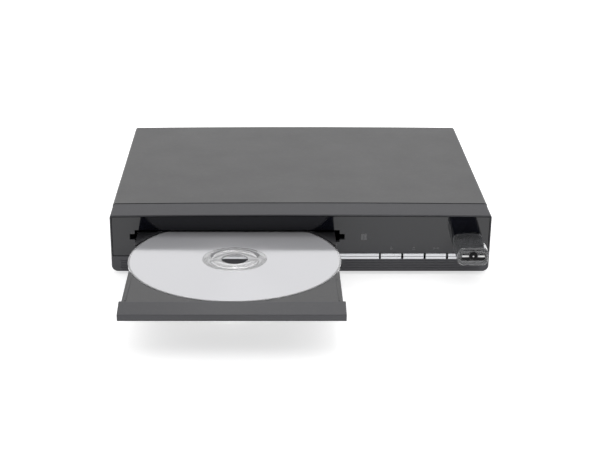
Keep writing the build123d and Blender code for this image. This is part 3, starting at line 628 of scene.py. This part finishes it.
def turned(name: str, centre: Vector, profile: list[Pair], segments: int = 96,
           closed: bool = True) -> Piece:
    """Make a round piece by extruding a ring of points along a profile.

    Args:
        name: The piece's name.
        centre: A point on the upright axis, at height zero of the profile.
        profile: The (radius, height) of each ring, in metres, in order round the section.
        segments: Points round each ring.
        closed: Whether the last ring joins the first, as on a ring-shaped piece; else both ends are filled.

    Returns:
        The piece, upright round its axis.
    """
    deselect()
    radius, height = profile[0]
    bpy.ops.mesh.primitive_circle_add(vertices=segments, radius=radius, location=centre + Vector((0, 0, height)))
    piece = bpy.context.object
    bpy.ops.object.mode_set(mode="EDIT")
    bpy.ops.mesh.select_all(action="SELECT")
    if not closed:
        bpy.ops.mesh.edge_face_add()
    rings = profile[1:] + (profile[:1] if closed else [])
    for next_radius, next_height in rings:
        bpy.ops.mesh.extrude_region_move(TRANSFORM_OT_translate={"value": (0, 0, next_height - height)})
        grow = next_radius / radius
        bpy.ops.transform.resize(value=(grow, grow, 1), center_override=centre)
        radius, height = next_radius, next_height
    bpy.ops.mesh.select_all(action="SELECT")
    bpy.ops.mesh.remove_doubles(threshold=1e-6)
    bpy.ops.mesh.normals_make_consistent(inside=False)
    bpy.ops.object.mode_set(mode="OBJECT")
    return settle(piece, name)


def block(name: str, low: Point, high: Point, bevel: float, segments: int = 3) -> Piece:
    """A block between two corners with rounded edges.

    Args:
        name: The piece's name.
        low: The lowest corner.
        high: The highest corner.
        bevel: The rounding's width in metres.
        segments: Faces across the rounding.

    Returns:
        The block.
    """
    deselect()
    size = [b - a for a, b in zip(low, high)]
    bpy.ops.mesh.primitive_cube_add(size=1, location=[(a + b) / 2 for a, b in zip(low, high)])
    piece = bpy.context.object
    piece.scale = size
    bpy.ops.object.transform_apply(location=False, rotation=False, scale=True)
    bpy.ops.object.mode_set(mode="EDIT")
    bpy.ops.mesh.select_all(action="SELECT")
    bpy.ops.mesh.bevel(offset=bevel, segments=segments, affect="EDGES")
    bpy.ops.object.mode_set(mode="OBJECT")
    return settle(piece, name)


def softened(node: str, name: str, width: float, segments: int = 2, angle: float = 35.0) -> Piece:
    """Copy a CAD node with its sharp edges slightly rounded, and let the copy stand for it.

    Args:
        node: The CAD node.
        name: The new piece's name.
        width: The rounding's width in metres.
        segments: Faces across the rounding.
        angle: Edges sharper than this, in degrees, are rounded.

    Returns:
        The copy, with its rounding applied.
    """
    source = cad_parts[node]
    deselect()
    piece = source.copy()
    piece.data = source.data.copy()
    piece.parent = None
    for key in list(piece.keys()):
        del piece[key]
    bpy.context.scene.collection.objects.link(piece)
    activate(piece)
    bpy.ops.mesh.customdata_custom_splitnormals_clear()
    bpy.ops.object.mode_set(mode="EDIT")
    bpy.ops.mesh.select_all(action="SELECT")
    bpy.ops.mesh.remove_doubles(threshold=WELD)
    bpy.ops.mesh.dissolve_limited(angle_limit=math.radians(FLAT_DEG))
    bpy.ops.object.mode_set(mode="OBJECT")
    rounding = piece.modifiers.new("rounding", "BEVEL")
    rounding.width = width
    rounding.segments = segments
    rounding.limit_method = "ANGLE"
    rounding.angle_limit = math.radians(angle)
    rounding.miter_outer = "MITER_ARC"
    bpy.ops.object.modifier_apply(modifier=rounding.name)
    settle(piece, name, 40.0)
    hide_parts(node)
    return piece


def dress(piece: Piece, finish: Finish) -> None:
    """Give every material slot of a piece one finish.

    Args:
        piece: The piece.
        finish: The finish.
    """
    made = finish.material()
    if not piece.material_slots:
        piece.data.materials.append(made)
    for slot in piece.material_slots:
        slot.material = made


def dress_node(node: str, finish: Finish) -> None:
    """Give a CAD node its finish and report it.

    Args:
        node: The CAD node.
        finish: The finish.
    """
    dress(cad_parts[node], finish)
    log.info("node %s finished as %s", node, finish.name)


def fit(piece: Piece, body: str, finish: Finish) -> Piece:
    """Dress a new piece, let it ride on a body and report it.

    Args:
        piece: The piece.
        body: The body that it rides on.
        finish: The finish.

    Returns:
        The piece.
    """
    dress(piece, finish)
    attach(piece, body)
    log.info("piece %s on body %s, %d faces, finished as %s", piece.name, body, len(piece.data.polygons), finish.name)
    return piece


# ---- the finishes of this player

COVER_PAINT = Finish("cover_paint_finish", (0.043, 0.043, 0.0445), 0.42, grain=2600, depth=0.00003, bump=0.22,
                     blotch=32, contrast=0.16, wear=0.12, wear_colour=(0.16, 0.16, 0.165), dust=0.03)
FASCIA_PLASTIC = Finish("fascia_plastic_finish", (0.088, 0.088, 0.094), 0.52, specular=0.09, grain=4200, bump=0.15,
                        contrast=0.10, wear=0.25, wear_colour=(0.16, 0.16, 0.17), dust=0.02)
LIP_PLASTIC = Finish("lip_plastic_finish", (0.074, 0.074, 0.080), 0.48, specular=0.26, grain=4200, bump=0.15,
                     contrast=0.10, wear=0.25, wear_colour=(0.18, 0.18, 0.19), dust=0.02)
PANEL_GLOSS = Finish("panel_gloss_finish", (0.004, 0.0045, 0.008), 0.05, coat=0.25, grain=500, depth=0.000004,
                     bump=0.08, contrast=0.10, wear=0.10, wear_colour=(0.1, 0.1, 0.1), dust=0.01)
KEY_SILVER = KeyFinish("key_silver_finish", (0.84, 0.85, 0.87), 0.30, metallic=0.25, grain=2600, blotch=60,
                       depth=0.000005, bump=0.10, contrast=0.03, wear=0.0, dust=0.0)
TRAY_PLASTIC = Finish("tray_plastic_finish", (0.019, 0.019, 0.021), 0.29, grain=3800, depth=0.00001, bump=0.18,
                      contrast=0.10, wear=0.45, wear_colour=(0.24, 0.24, 0.25), dust=0.03)
RUBBER = Finish("foot_rubber_finish", (0.022, 0.022, 0.022), 0.85, grain=1500, depth=0.00006, bump=0.4, wear=0.1)
ZINC = ZincFinish("zinc_steel_finish", (0.40, 0.41, 0.43), 0.42, metallic=0.85, contrast=0.07, wear=0.0, dust=0.02)
SCREW_STEEL = BrushedFinish("screw_finish", (0.20, 0.20, 0.21), 0.35, metallic=0.9, grain=1800, contrast=0.15,
                            wear=0.3, wear_colour=(0.55, 0.55, 0.56))
BLACK_MOULDING = Finish("connector_black_finish", (0.018, 0.018, 0.019), 0.38, grain=3200, bump=0.2, wear=0.2)
BRIGHT_METAL = BrushedFinish("nickel_finish", (0.72, 0.72, 0.72), 0.20, metallic=1.0, grain=1400, bump=0.1,
                             contrast=0.06, wear=0.0, dust=0.0)
GOLD_METAL = BrushedFinish("gilded_finish", (0.78, 0.60, 0.28), 0.22, metallic=1.0, grain=1400, bump=0.1,
                           contrast=0.06, wear=0.0, dust=0.0)
WHITE_NYLON = Finish("white_nylon_finish", (0.72, 0.72, 0.69), 0.45, grain=2600, bump=0.2, wear=0.0)
DECK_PLASTIC = Finish("deck_plastic_finish", (0.012, 0.012, 0.013), 0.55, grain=2800, bump=0.3, wear=0.2)
MOTOR_STEEL = BrushedFinish("motor_steel_finish", (0.50, 0.50, 0.52), 0.32, metallic=0.95, grain=1500, contrast=0.08)
BELT_RUBBER = Finish("belt_rubber_finish", (0.018, 0.018, 0.018), 0.75, grain=2200, bump=0.3, wear=0.0)
CAST_ALLOY = Finish("cast_alloy_finish", (0.42, 0.43, 0.44), 0.48, metallic=0.85, grain=1800, depth=0.00006,
                    bump=0.4, contrast=0.10, wear=0.3, wear_colour=(0.7, 0.7, 0.7))
FERRITE = Finish("ferrite_finish", (0.045, 0.045, 0.047), 0.60, grain=1600, depth=0.00006, bump=0.4)
BOARD_GREEN = BoardFinish("board_green_finish", (0.028, 0.16, 0.065), 0.28, bump=0.3, depth=0.00004)
LENS_CLEAR = ClearFinish("lens_finish", (0.80, 0.86, 0.97), 0.03, ior=1.52, bump=0.02)
HUB_CLEAR = ClearFinish("disc_hub_finish", (0.93, 0.93, 0.94), 0.06, transmission=0.80, ior=1.58, grain=700,
                        bump=0.02)
STICK_CLEAR = ClearFinish("stick_shell_finish", (0.86, 0.87, 0.89), 0.06, transmission=0.95, ior=1.49, bump=0.02)
STICK_BLACK = Finish("stick_core_finish", (0.006, 0.006, 0.007), 0.08, coat=0.3, grain=900, bump=0.05,
                     contrast=0.05, wear=0.0, dust=0.0)
STICK_END = Finish("stick_end_finish", (0.005, 0.005, 0.006), 0.16, specular=0.12, grain=900, bump=0.05,
                   contrast=0.05, wear=0.0, dust=0.0)
# Pale paint for the stick's end: its two bars and the small dot in the boss are painted highlights.
STICK_HIGHLIGHT_PAINT = Finish("stick_window_finish", (0.80, 0.80, 0.80), 0.15, grain=2000, bump=0.05, contrast=0.03,
                      wear=0.0, dust=0.0)
LEGEND_INK = Finish("legend_ink_finish", (0.10, 0.10, 0.105), 0.45, grain=5000, bump=0.1, wear=0.0, dust=0.0)


# ---- sub-assemblies


@dataclass
class CaseShell:
    """The steel cover, the pan with its rear panel, the feet and the screws."""

    foot_round: float = 0.35 * MM

    def build(self) -> None:
        """Finish the outer case."""
        dress_node("top_cover", COVER_PAINT)
        dress_node("bottom_chassis", ZINC)
        foot = softened("rubber_feet", "rubber_foot_set", self.foot_round)
        fit(foot, "chassis", RUBBER)
        for node in ("cover_screws", "deck_screws", "board_screws"):
            dress_node(node, SCREW_STEEL)


class SignShape(Enum):
    """The shapes that the printed signs are made of, as their number of corners and first corner's angle."""

    UP_ARROW = (3, 90.0)
    RIGHT_ARROW = (3, 0.0)
    SQUARE = (4, 45.0)
    ROUND = (24, 0.0)


@dataclass
class Fascia:
    """The moulded front, its gloss panel, the silver keys and the small printed signs."""

    lean: float = 2.3 / 35.4
    ink: float = 0.04 * MM
    sign_rise: float = 5.1 * MM
    sign_half: float = 0.95 * MM
    bar_w: float = 0.35 * MM
    mark_x: float = 37.6 * MM
    mark_z: float = 20.75 * MM
    mark_size: Pair = (1.5 * MM, 3.9 * MM)
    keys: tuple[str, ...] = ("key_power", "key_eject", "key_play", "key_stop")

    def front_at(self, z: float) -> float:
        """The y of the panel's leaning face at a height.

        Args:
            z: The height.

        Returns:
            The y.
        """
        low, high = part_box("front_panel")
        return low.y + (high.z - z) * self.lean

    def shape(self, shape: SignShape, x: float, z: float, wide: float, high: float) -> Piece:
        """One thin printed shape on the panel.

        Args:
            shape: Which shape.
            x: The middle's x.
            z: The middle's height.
            wide: Half the width.
            high: Half the height.

        Returns:
            The shape's object, not yet joined to the rest of its sign.
        """
        corners, first = shape.value
        deselect()
        bpy.ops.mesh.primitive_cone_add(vertices=corners, radius1=1.0, radius2=1.0, depth=2 * self.ink,
                                        location=(0, 0, 0), rotation=(0, 0, math.radians(first - 90)))
        piece = bpy.context.object
        bpy.ops.object.transform_apply(location=False, rotation=True, scale=False)
        reach = max(abs(vertex.co.x) for vertex in piece.data.vertices)
        rise = max(abs(vertex.co.y) for vertex in piece.data.vertices)
        piece.scale = (wide / reach, high / rise, 1.0)
        bpy.ops.object.transform_apply(location=False, rotation=False, scale=True)
        piece.rotation_euler = (math.radians(90) + math.atan(self.lean), 0, 0)
        piece.location = (x, self.front_at(z), z)
        bpy.ops.object.transform_apply(location=True, rotation=True, scale=False)
        return piece

    def sign(self, name: str, shapes: list[Piece]) -> None:
        """Join the shapes of one sign into a printed piece.

        Args:
            name: The sign's name.
            shapes: Its shapes.
        """
        deselect()
        for piece in shapes:
            piece.select_set(True)
        bpy.context.view_layer.objects.active = shapes[0]
        if len(shapes) > 1:
            bpy.ops.object.join()
        fit(settle(shapes[0], name), "chassis", LEGEND_INK)

    def signs(self) -> None:
        """Print the standby, eject, play and stop signs over their keys and the receiver's mark."""
        half, bar = self.sign_half, self.bar_w
        middle = {key: (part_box(key)[0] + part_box(key)[1]) / 2 for key in self.keys}
        standby, eject, play, stop = (middle[key] for key in self.keys)
        z = eject.z + self.sign_rise
        self.sign("sign_standby", [
            self.shape(SignShape.ROUND, standby.x, z - 0.25 * half, 0.75 * half, 0.6 * half),
            self.shape(SignShape.SQUARE, standby.x, z + 0.8 * half, 0.5 * bar, 0.45 * half)])
        self.sign("sign_eject", [
            self.shape(SignShape.UP_ARROW, eject.x, z + 0.3 * half, half, 0.6 * half),
            self.shape(SignShape.SQUARE, eject.x, z - 0.8 * half, half, 0.5 * bar)])
        self.sign("sign_play", [
            self.shape(SignShape.RIGHT_ARROW, play.x - 1.1 * half, z, 0.7 * half, 0.8 * half),
            self.shape(SignShape.SQUARE, play.x + 0.6 * half, z, 0.5 * bar, 0.7 * half),
            self.shape(SignShape.SQUARE, play.x + 1.5 * half, z, 0.5 * bar, 0.7 * half)])
        self.sign("sign_stop", [self.shape(SignShape.SQUARE, stop.x, z, 0.7 * half, 0.7 * half)])
        wide, high = self.mark_size
        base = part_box("bottom_chassis")[0].z
        self.sign("receiver_mark", [
            self.shape(SignShape.SQUARE, self.mark_x + side * 0.62 * wide, base + self.mark_z, wide / 2, high / 2)
            for side in (-1, 1)])

    def build(self) -> None:
        """Finish the front and print its signs."""
        dress_node("front_fascia", FASCIA_PLASTIC)
        dress_node("front_panel", PANEL_GLOSS)
        dress_node("key_trim_bar", KEY_SILVER)
        for key in self.keys:
            dress_node(key, KEY_SILVER)
        self.signs()


@dataclass
class MemoryStick:
    """The stick in the front socket: clear shell, gloss core, metal plug, the end's boss, and pale bars and a pale dot
    on the end that are painted highlights.
    """

    plate_side: float = 1.5 * MM
    plate_rim: float = 2.8 * MM
    proud: float = 0.12 * MM
    # Size, spacing and rise of the two pale bars, which are painted highlights on the end.
    highlight_bar: Pair = (4.0 * MM, 1.1 * MM)
    highlight_bar_x: float = 4.5 * MM
    bars_and_boss_rise: float = 0.8 * MM
    boss_r: float = 2.4 * MM
    highlight_dot_r: float = 0.5 * MM

    def end_plate(self, low: Vector, high: Vector, face_y: float) -> None:
        """The black end plate that closes the clear shell.

        Args:
            low: The shell's lowest corner.
            high: The shell's highest corner.
            face_y: The y of the core's front.
        """
        side, rim = self.plate_side, self.plate_rim
        plate = block("stick_end_plate", (low.x + side, low.y - self.proud, low.z + rim),
                      (high.x - side, face_y, high.z - rim), 1.2 * MM, 6)
        fit(plate, "stick", STICK_END)

    def highlight_bars(self, centre: Vector, front_y: float) -> None:
        """Two pale bars set into the end plate, as painted highlights.

        Args:
            centre: The middle of the painted highlight bars and the boss.
            front_y: The y of the end plate's front.
        """
        width, height = self.highlight_bar
        for name, side in (("left", -1), ("right", 1)):
            x = centre.x + side * self.highlight_bar_x
            piece = block(f"stick_window_{name}", (x - width / 2, front_y - self.proud, centre.z - height / 2),
                          (x + width / 2, front_y + 6 * self.proud, centre.z + height / 2), 0.2 * MM)
            fit(piece, "stick", STICK_HIGHLIGHT_PAINT)

    def boss(self, centre: Vector, front_y: float) -> None:
        """The round black boss with its shallow recess in the middle of the end.

        Args:
            centre: The middle of the painted highlight bars and the boss.
            front_y: The y of the end plate's front.
        """
        radius, wall = self.boss_r, 0.25 * MM
        piece = turned("stick_boss", Vector((0, 0, 0)), [
            (radius, -4 * wall), (radius, 1.4 * wall), (0.88 * radius, 2.4 * wall), (0.6 * radius, 2.4 * wall),
            (0.42 * radius, 0.6 * wall), (0.16 * radius, 0.6 * wall)], 48, closed=False)
        piece.rotation_euler = (math.radians(90), 0, 0)
        piece.location = (centre.x, front_y, centre.z)
        fit(settle(piece, "stick_boss"), "stick", STICK_END)

    def highlight_dot(self, centre: Vector, front_y: float) -> None:
        """A small pale dome in the boss's recess, as a painted highlight.

        Args:
            centre: The middle of the painted highlight bars and the boss.
            front_y: The y of the end plate's front.
        """
        radius = self.highlight_dot_r
        piece = turned("stick_highlight_dot", Vector((0, 0, 0)), [
            (radius, -radius), (radius, 0.3 * radius), (0.8 * radius, 0.75 * radius), (0.35 * radius, 1.0 * radius)],
            32, closed=False)
        piece.rotation_euler = (math.radians(90), 0, 0)
        piece.location = (centre.x, front_y, centre.z)
        fit(settle(piece, "stick_highlight_dot"), "stick", STICK_HIGHLIGHT_PAINT)

    def build(self) -> None:
        """Finish the stick and dress its end."""
        dress_node("stick_shell", STICK_CLEAR)
        dress_node("stick_core", STICK_BLACK)
        dress_node("stick_plug", BRIGHT_METAL)
        low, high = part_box("stick_shell")
        centre = (low + high) / 2
        centre.z += self.bars_and_boss_rise
        front_y = low.y - self.proud
        self.end_plate(low, high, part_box("stick_core")[0].y)
        # The two pale bars and the pale dot in the boss are painted highlights.
        self.highlight_bars(centre, front_y)
        self.boss(centre, front_y)
        self.highlight_dot(centre, front_y)


@dataclass
class TrayAndDisc:
    """The tray, its lip and the disc with its hub, mirror layer and clear rim."""

    hole_r: float = 7.5 * MM
    groove_r: float = 16.6 * MM
    hub_r: float = 18.2 * MM
    rim_w: float = 1.0 * MM
    stack_r: float = 12.8 * MM
    edge_round: float = 0.12 * MM
    ring: float = 0.10 * MM
    segments: int = 192
    bead_w: float = 0.9 * MM
    bead_round: float = 0.12 * MM
    bead_rise: float = 0.3 * MM
    bead_in: float = 7.3 * MM
    bead_clear: float = 2.0 * MM
    bead_drop: float = 0.4 * MM
    bead_from: float = 1.0 * MM

    def disc(self) -> None:
        """Build the disc's three zones in place of the plain CAD disc."""
        low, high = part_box("disc")
        centre = Vector(((low.x + high.x) / 2, (low.y + high.y) / 2, low.z))
        thick, outer, hole = high.z - low.z, (high.x - low.x) / 2, self.hole_r
        soft, ring = self.edge_round, self.ring
        mirror_r = outer - self.rim_w
        stack, groove = self.stack_r, self.groove_r
        hub = turned("disc_hub", centre, [
            (hole, soft), (hole, thick - soft), (hole + soft, thick),
            (stack - 2 * ring, thick), (stack, thick + ring), (stack + 2 * ring, thick),
            (groove - ring, thick), (groove, thick - ring), (groove + ring, thick),
            (self.hub_r, thick), (self.hub_r, 0), (hole + soft, 0)], self.segments)
        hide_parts("disc")
        fit(hub, "disc", HUB_CLEAR)
        mirror = turned("disc_mirror_layer", centre, [
            (self.hub_r, 0), (self.hub_r, thick), (mirror_r, thick), (mirror_r, 0)], self.segments)
        finish = MirrorFinish("disc_mirror_finish", (0.655, 0.655, 0.68), 0.13, metallic=0.46, coat=0.4, contrast=0.02,
                              wear=0.0, dust=0.0, centre=tuple(centre))
        fit(mirror, "disc", finish)
        rim = turned("disc_rim", centre, [
            (mirror_r, thick), (outer - soft, thick), (outer, thick - soft), (outer, soft),
            (outer - soft, 0), (mirror_r, 0)], self.segments)
        fit(rim, "disc", HUB_CLEAR)

    def beads(self) -> None:
        """A low raised bead along each side of the tray's top, from the lip to the disc."""
        disc_low, disc_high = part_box("disc")
        low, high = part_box("disc_tray")
        centre = (disc_low + disc_high) / 2
        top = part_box("tray_lip")[1].z - self.bead_drop
        for name, x in (("left", low.x + self.bead_in), ("right", high.x - self.bead_in)):
            reach = (disc_high.x - disc_low.x) / 2 + self.bead_clear
            across = max(0.0, abs(x - centre.x) - self.bead_w)
            rear = centre.y - math.sqrt(max(0.0, reach ** 2 - across ** 2))
            bead = block(f"tray_bead_{name}", (x - self.bead_w / 2, low.y + self.bead_from, top - 2 * self.bead_rise),
                         (x + self.bead_w / 2, rear, top + self.bead_rise), self.bead_round)
            fit(bead, "tray", TRAY_PLASTIC)

    def build(self) -> None:
        """Finish the tray and build the disc."""
        dress_node("disc_tray", TRAY_PLASTIC)
        dress_node("tray_lip", LIP_PLASTIC)
        self.beads()
        self.disc()


@dataclass
class Loader:
    """The tray mechanism and the optical pickup inside the case."""

    finishes: dict[str, Finish] = field(default_factory=lambda: {
        "deck_frame": DECK_PLASTIC, "clamp_bridge": ZINC, "clamper": WHITE_NYLON, "loading_motor": MOTOR_STEEL,
        "motor_pulley": GOLD_METAL, "pulley_gear": WHITE_NYLON, "tray_gear": WHITE_NYLON,
        "drive_belt": BELT_RUBBER, "cam_slider": WHITE_NYLON, "traverse_frame": ZINC,
        "spindle_motor": MOTOR_STEEL, "turntable": DECK_PLASTIC, "turntable_pad": BELT_RUBBER,
        "guide_rods": BRIGHT_METAL, "sled_motor": MOTOR_STEEL, "lead_screw": BRIGHT_METAL,
        "pickup_sled": CAST_ALLOY, "lens_holder": DECK_PLASTIC, "objective_lens": LENS_CLEAR})

    def build(self) -> None:
        """Finish every piece of the mechanism."""
        for node, finish in self.finishes.items():
            dress_node(node, finish)


@dataclass
class Electronics:
    """The boards, their parts and the rear sockets."""

    insert_pitch: float = 14 * MM
    finishes: dict[str, Finish] = field(default_factory=lambda: {
        "key_board": BOARD_GREEN, "usb_board": BOARD_GREEN, "main_board": BOARD_GREEN,
        "power_board": BOARD_GREEN, "tact_switches": BLACK_MOULDING, "display_module": BLACK_MOULDING,
        "ir_receiver": BLACK_MOULDING, "main_board_chips": BLACK_MOULDING, "power_transformer": FERRITE,
        "power_capacitors": FERRITE, "heat_sink": CAST_ALLOY, "phono_block": BLACK_MOULDING,
        "phono_barrels": GOLD_METAL, "digital_port": BRIGHT_METAL, "mains_inlet": BLACK_MOULDING,
        "inlet_pins": BRIGHT_METAL, "usb_socket": BRIGHT_METAL, "usb_tongue": WHITE_NYLON,
        "front_ribbon": WHITE_NYLON})

    def build(self) -> None:
        """Finish the boards and sockets."""
        for node, finish in self.finishes.items():
            dress_node(node, finish)
        low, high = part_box("phono_inserts")
        pitch = self.insert_pitch
        first = low.x + (high.x - low.x - 3 * pitch) / 2
        dress_node("phono_inserts", InsertFinish("phono_insert_finish", (0.8, 0.8, 0.8), 0.4, grain=2600,
                                                 bump=0.15, first_x=first, pitch=pitch))


# ---- stage


@dataclass
class Studio:
    """A plain pale floor, soft white light and the camera."""

    floor_half: float = 4.0
    floor_glow: float = 0.62
    lens_mm: float = 83.93
    shift_x: float = 0.0547
    back: float = 0.7720
    up: float = 0.3179
    side: float = -0.0197
    pitch_deg: float = 20.54
    flag_level: float = 0.03
    flag_front: Pair = (-0.25, -0.6)
    flag_low: Pair = (0.0, 0.12)
    flag_high: Pair = (0.65, 0.85)
    lamp_place: Point = (0.05, 0.75, 1.25)
    lamp_size: float = 0.5
    lamp_watts: float = 4.0
    floor_gap: float = 0.2 * MM

    def floor(self) -> None:
        """The pale, faintly lit floor under the feet."""
        deselect()
        bpy.ops.mesh.primitive_plane_add(size=2 * self.floor_half, location=(0, 0, -self.floor_gap))
        plane = bpy.context.object
        plane.name = "studio_floor"
        made = Finish("studio_floor_finish", (0.90, 0.90, 0.90), 0.9, grain=200, bump=0.0, contrast=0.01, wear=0.0,
                      dust=0.0, specular=0.0)
        dress(plane, made)
        surface = plane.active_material.node_tree.nodes["Principled BSDF"]
        surface.inputs["Emission Color"].default_value = (1, 1, 1, 1)
        surface.inputs["Emission Strength"].default_value = self.floor_glow

    def sky(self) -> None:
        """White surroundings, with a soft dark flag over the camera's side that only reflections see."""
        world = bpy.data.worlds.new("studio_world")
        world.use_nodes = True
        world.node_tree.nodes.clear()
        shader = Shader(world.node_tree)
        axes = shader.add("SeparateXYZ", {0: shader.add("TexCoord").outputs["Generated"]})
        front = shader.spread(axes.outputs["Y"], *self.flag_front, (0.0, 1.0))
        over = shader.spread(axes.outputs["Z"], *self.flag_low, (0.0, 1.0))
        under = shader.spread(axes.outputs["Z"], *self.flag_high, (1.0, 0.0))
        flag = shader.math("MULTIPLY", shader.math("MULTIPLY", front, over), under)
        unseen = shader.math("SUBTRACT", 1.0, shader.add("LightPath").outputs["Is Camera Ray"])
        share = shader.math("MULTIPLY", flag, unseen)
        low = self.flag_level
        colour = shader.mix((1.0, 1.0, 1.0, 1.0), (low, low, low * 1.1, 1.0), share)
        background = shader.add("Background", {"Color": colour, "Strength": 1.0})
        output = shader.add("OutputWorld")
        shader.link(background.outputs[0], output.inputs["Surface"])
        bpy.context.scene.world = world

    def lamp(self, name: str, place: Point, size: float, watts: float) -> None:
        """One round soft lamp that points at the middle of the player.

        Args:
            name: The lamp's name.
            place: Where it hangs.
            size: Its diameter in metres.
            watts: Its power.
        """
        deselect()
        bpy.ops.object.light_add(type="AREA", location=place)
        lamp = bpy.context.object
        lamp.name = name
        lamp.data.shape = "DISK"
        lamp.data.size = size
        lamp.data.energy = watts
        lamp.rotation_euler = (-lamp.location).to_track_quat("-Z", "Y").to_euler()

    def camera(self) -> None:
        """The camera, placed from the fascia's upper front edge and the case's underside."""
        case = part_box("bottom_chassis")[0]
        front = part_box("front_fascia")[0]
        data = bpy.data.cameras.new("view_camera")
        camera = bpy.data.objects.new("view_camera", data)
        bpy.context.scene.collection.objects.link(camera)
        data.lens, data.sensor_width, data.shift_x = self.lens_mm, 36.0, self.shift_x
        data.clip_start, data.clip_end = 0.01, 50.0
        camera.location = (self.side, front.y - self.back, case.z + self.up)
        camera.rotation_euler = (math.radians(90 - self.pitch_deg), 0, 0)
        bpy.context.scene.camera = camera

    def build(self) -> None:
        """Set the stage."""
        self.floor()
        self.sky()
        self.lamp("top_lamp", self.lamp_place, self.lamp_size, self.lamp_watts)
        self.camera()
        bpy.context.scene.view_settings.view_transform = "Standard"
        bpy.context.scene.view_settings.look = "None"


def main() -> None:
    """Build the player's visual model round the frame."""
    logging.basicConfig(level=logging.INFO, format="%(message)s")
    for part in (Studio(), CaseShell(), Fascia(), MemoryStick(), TrayAndDisc(), Loader(), Electronics()):
        part.build()
        log.info("%s done", type(part).__name__)


if __name__ == "__main__":
    main()
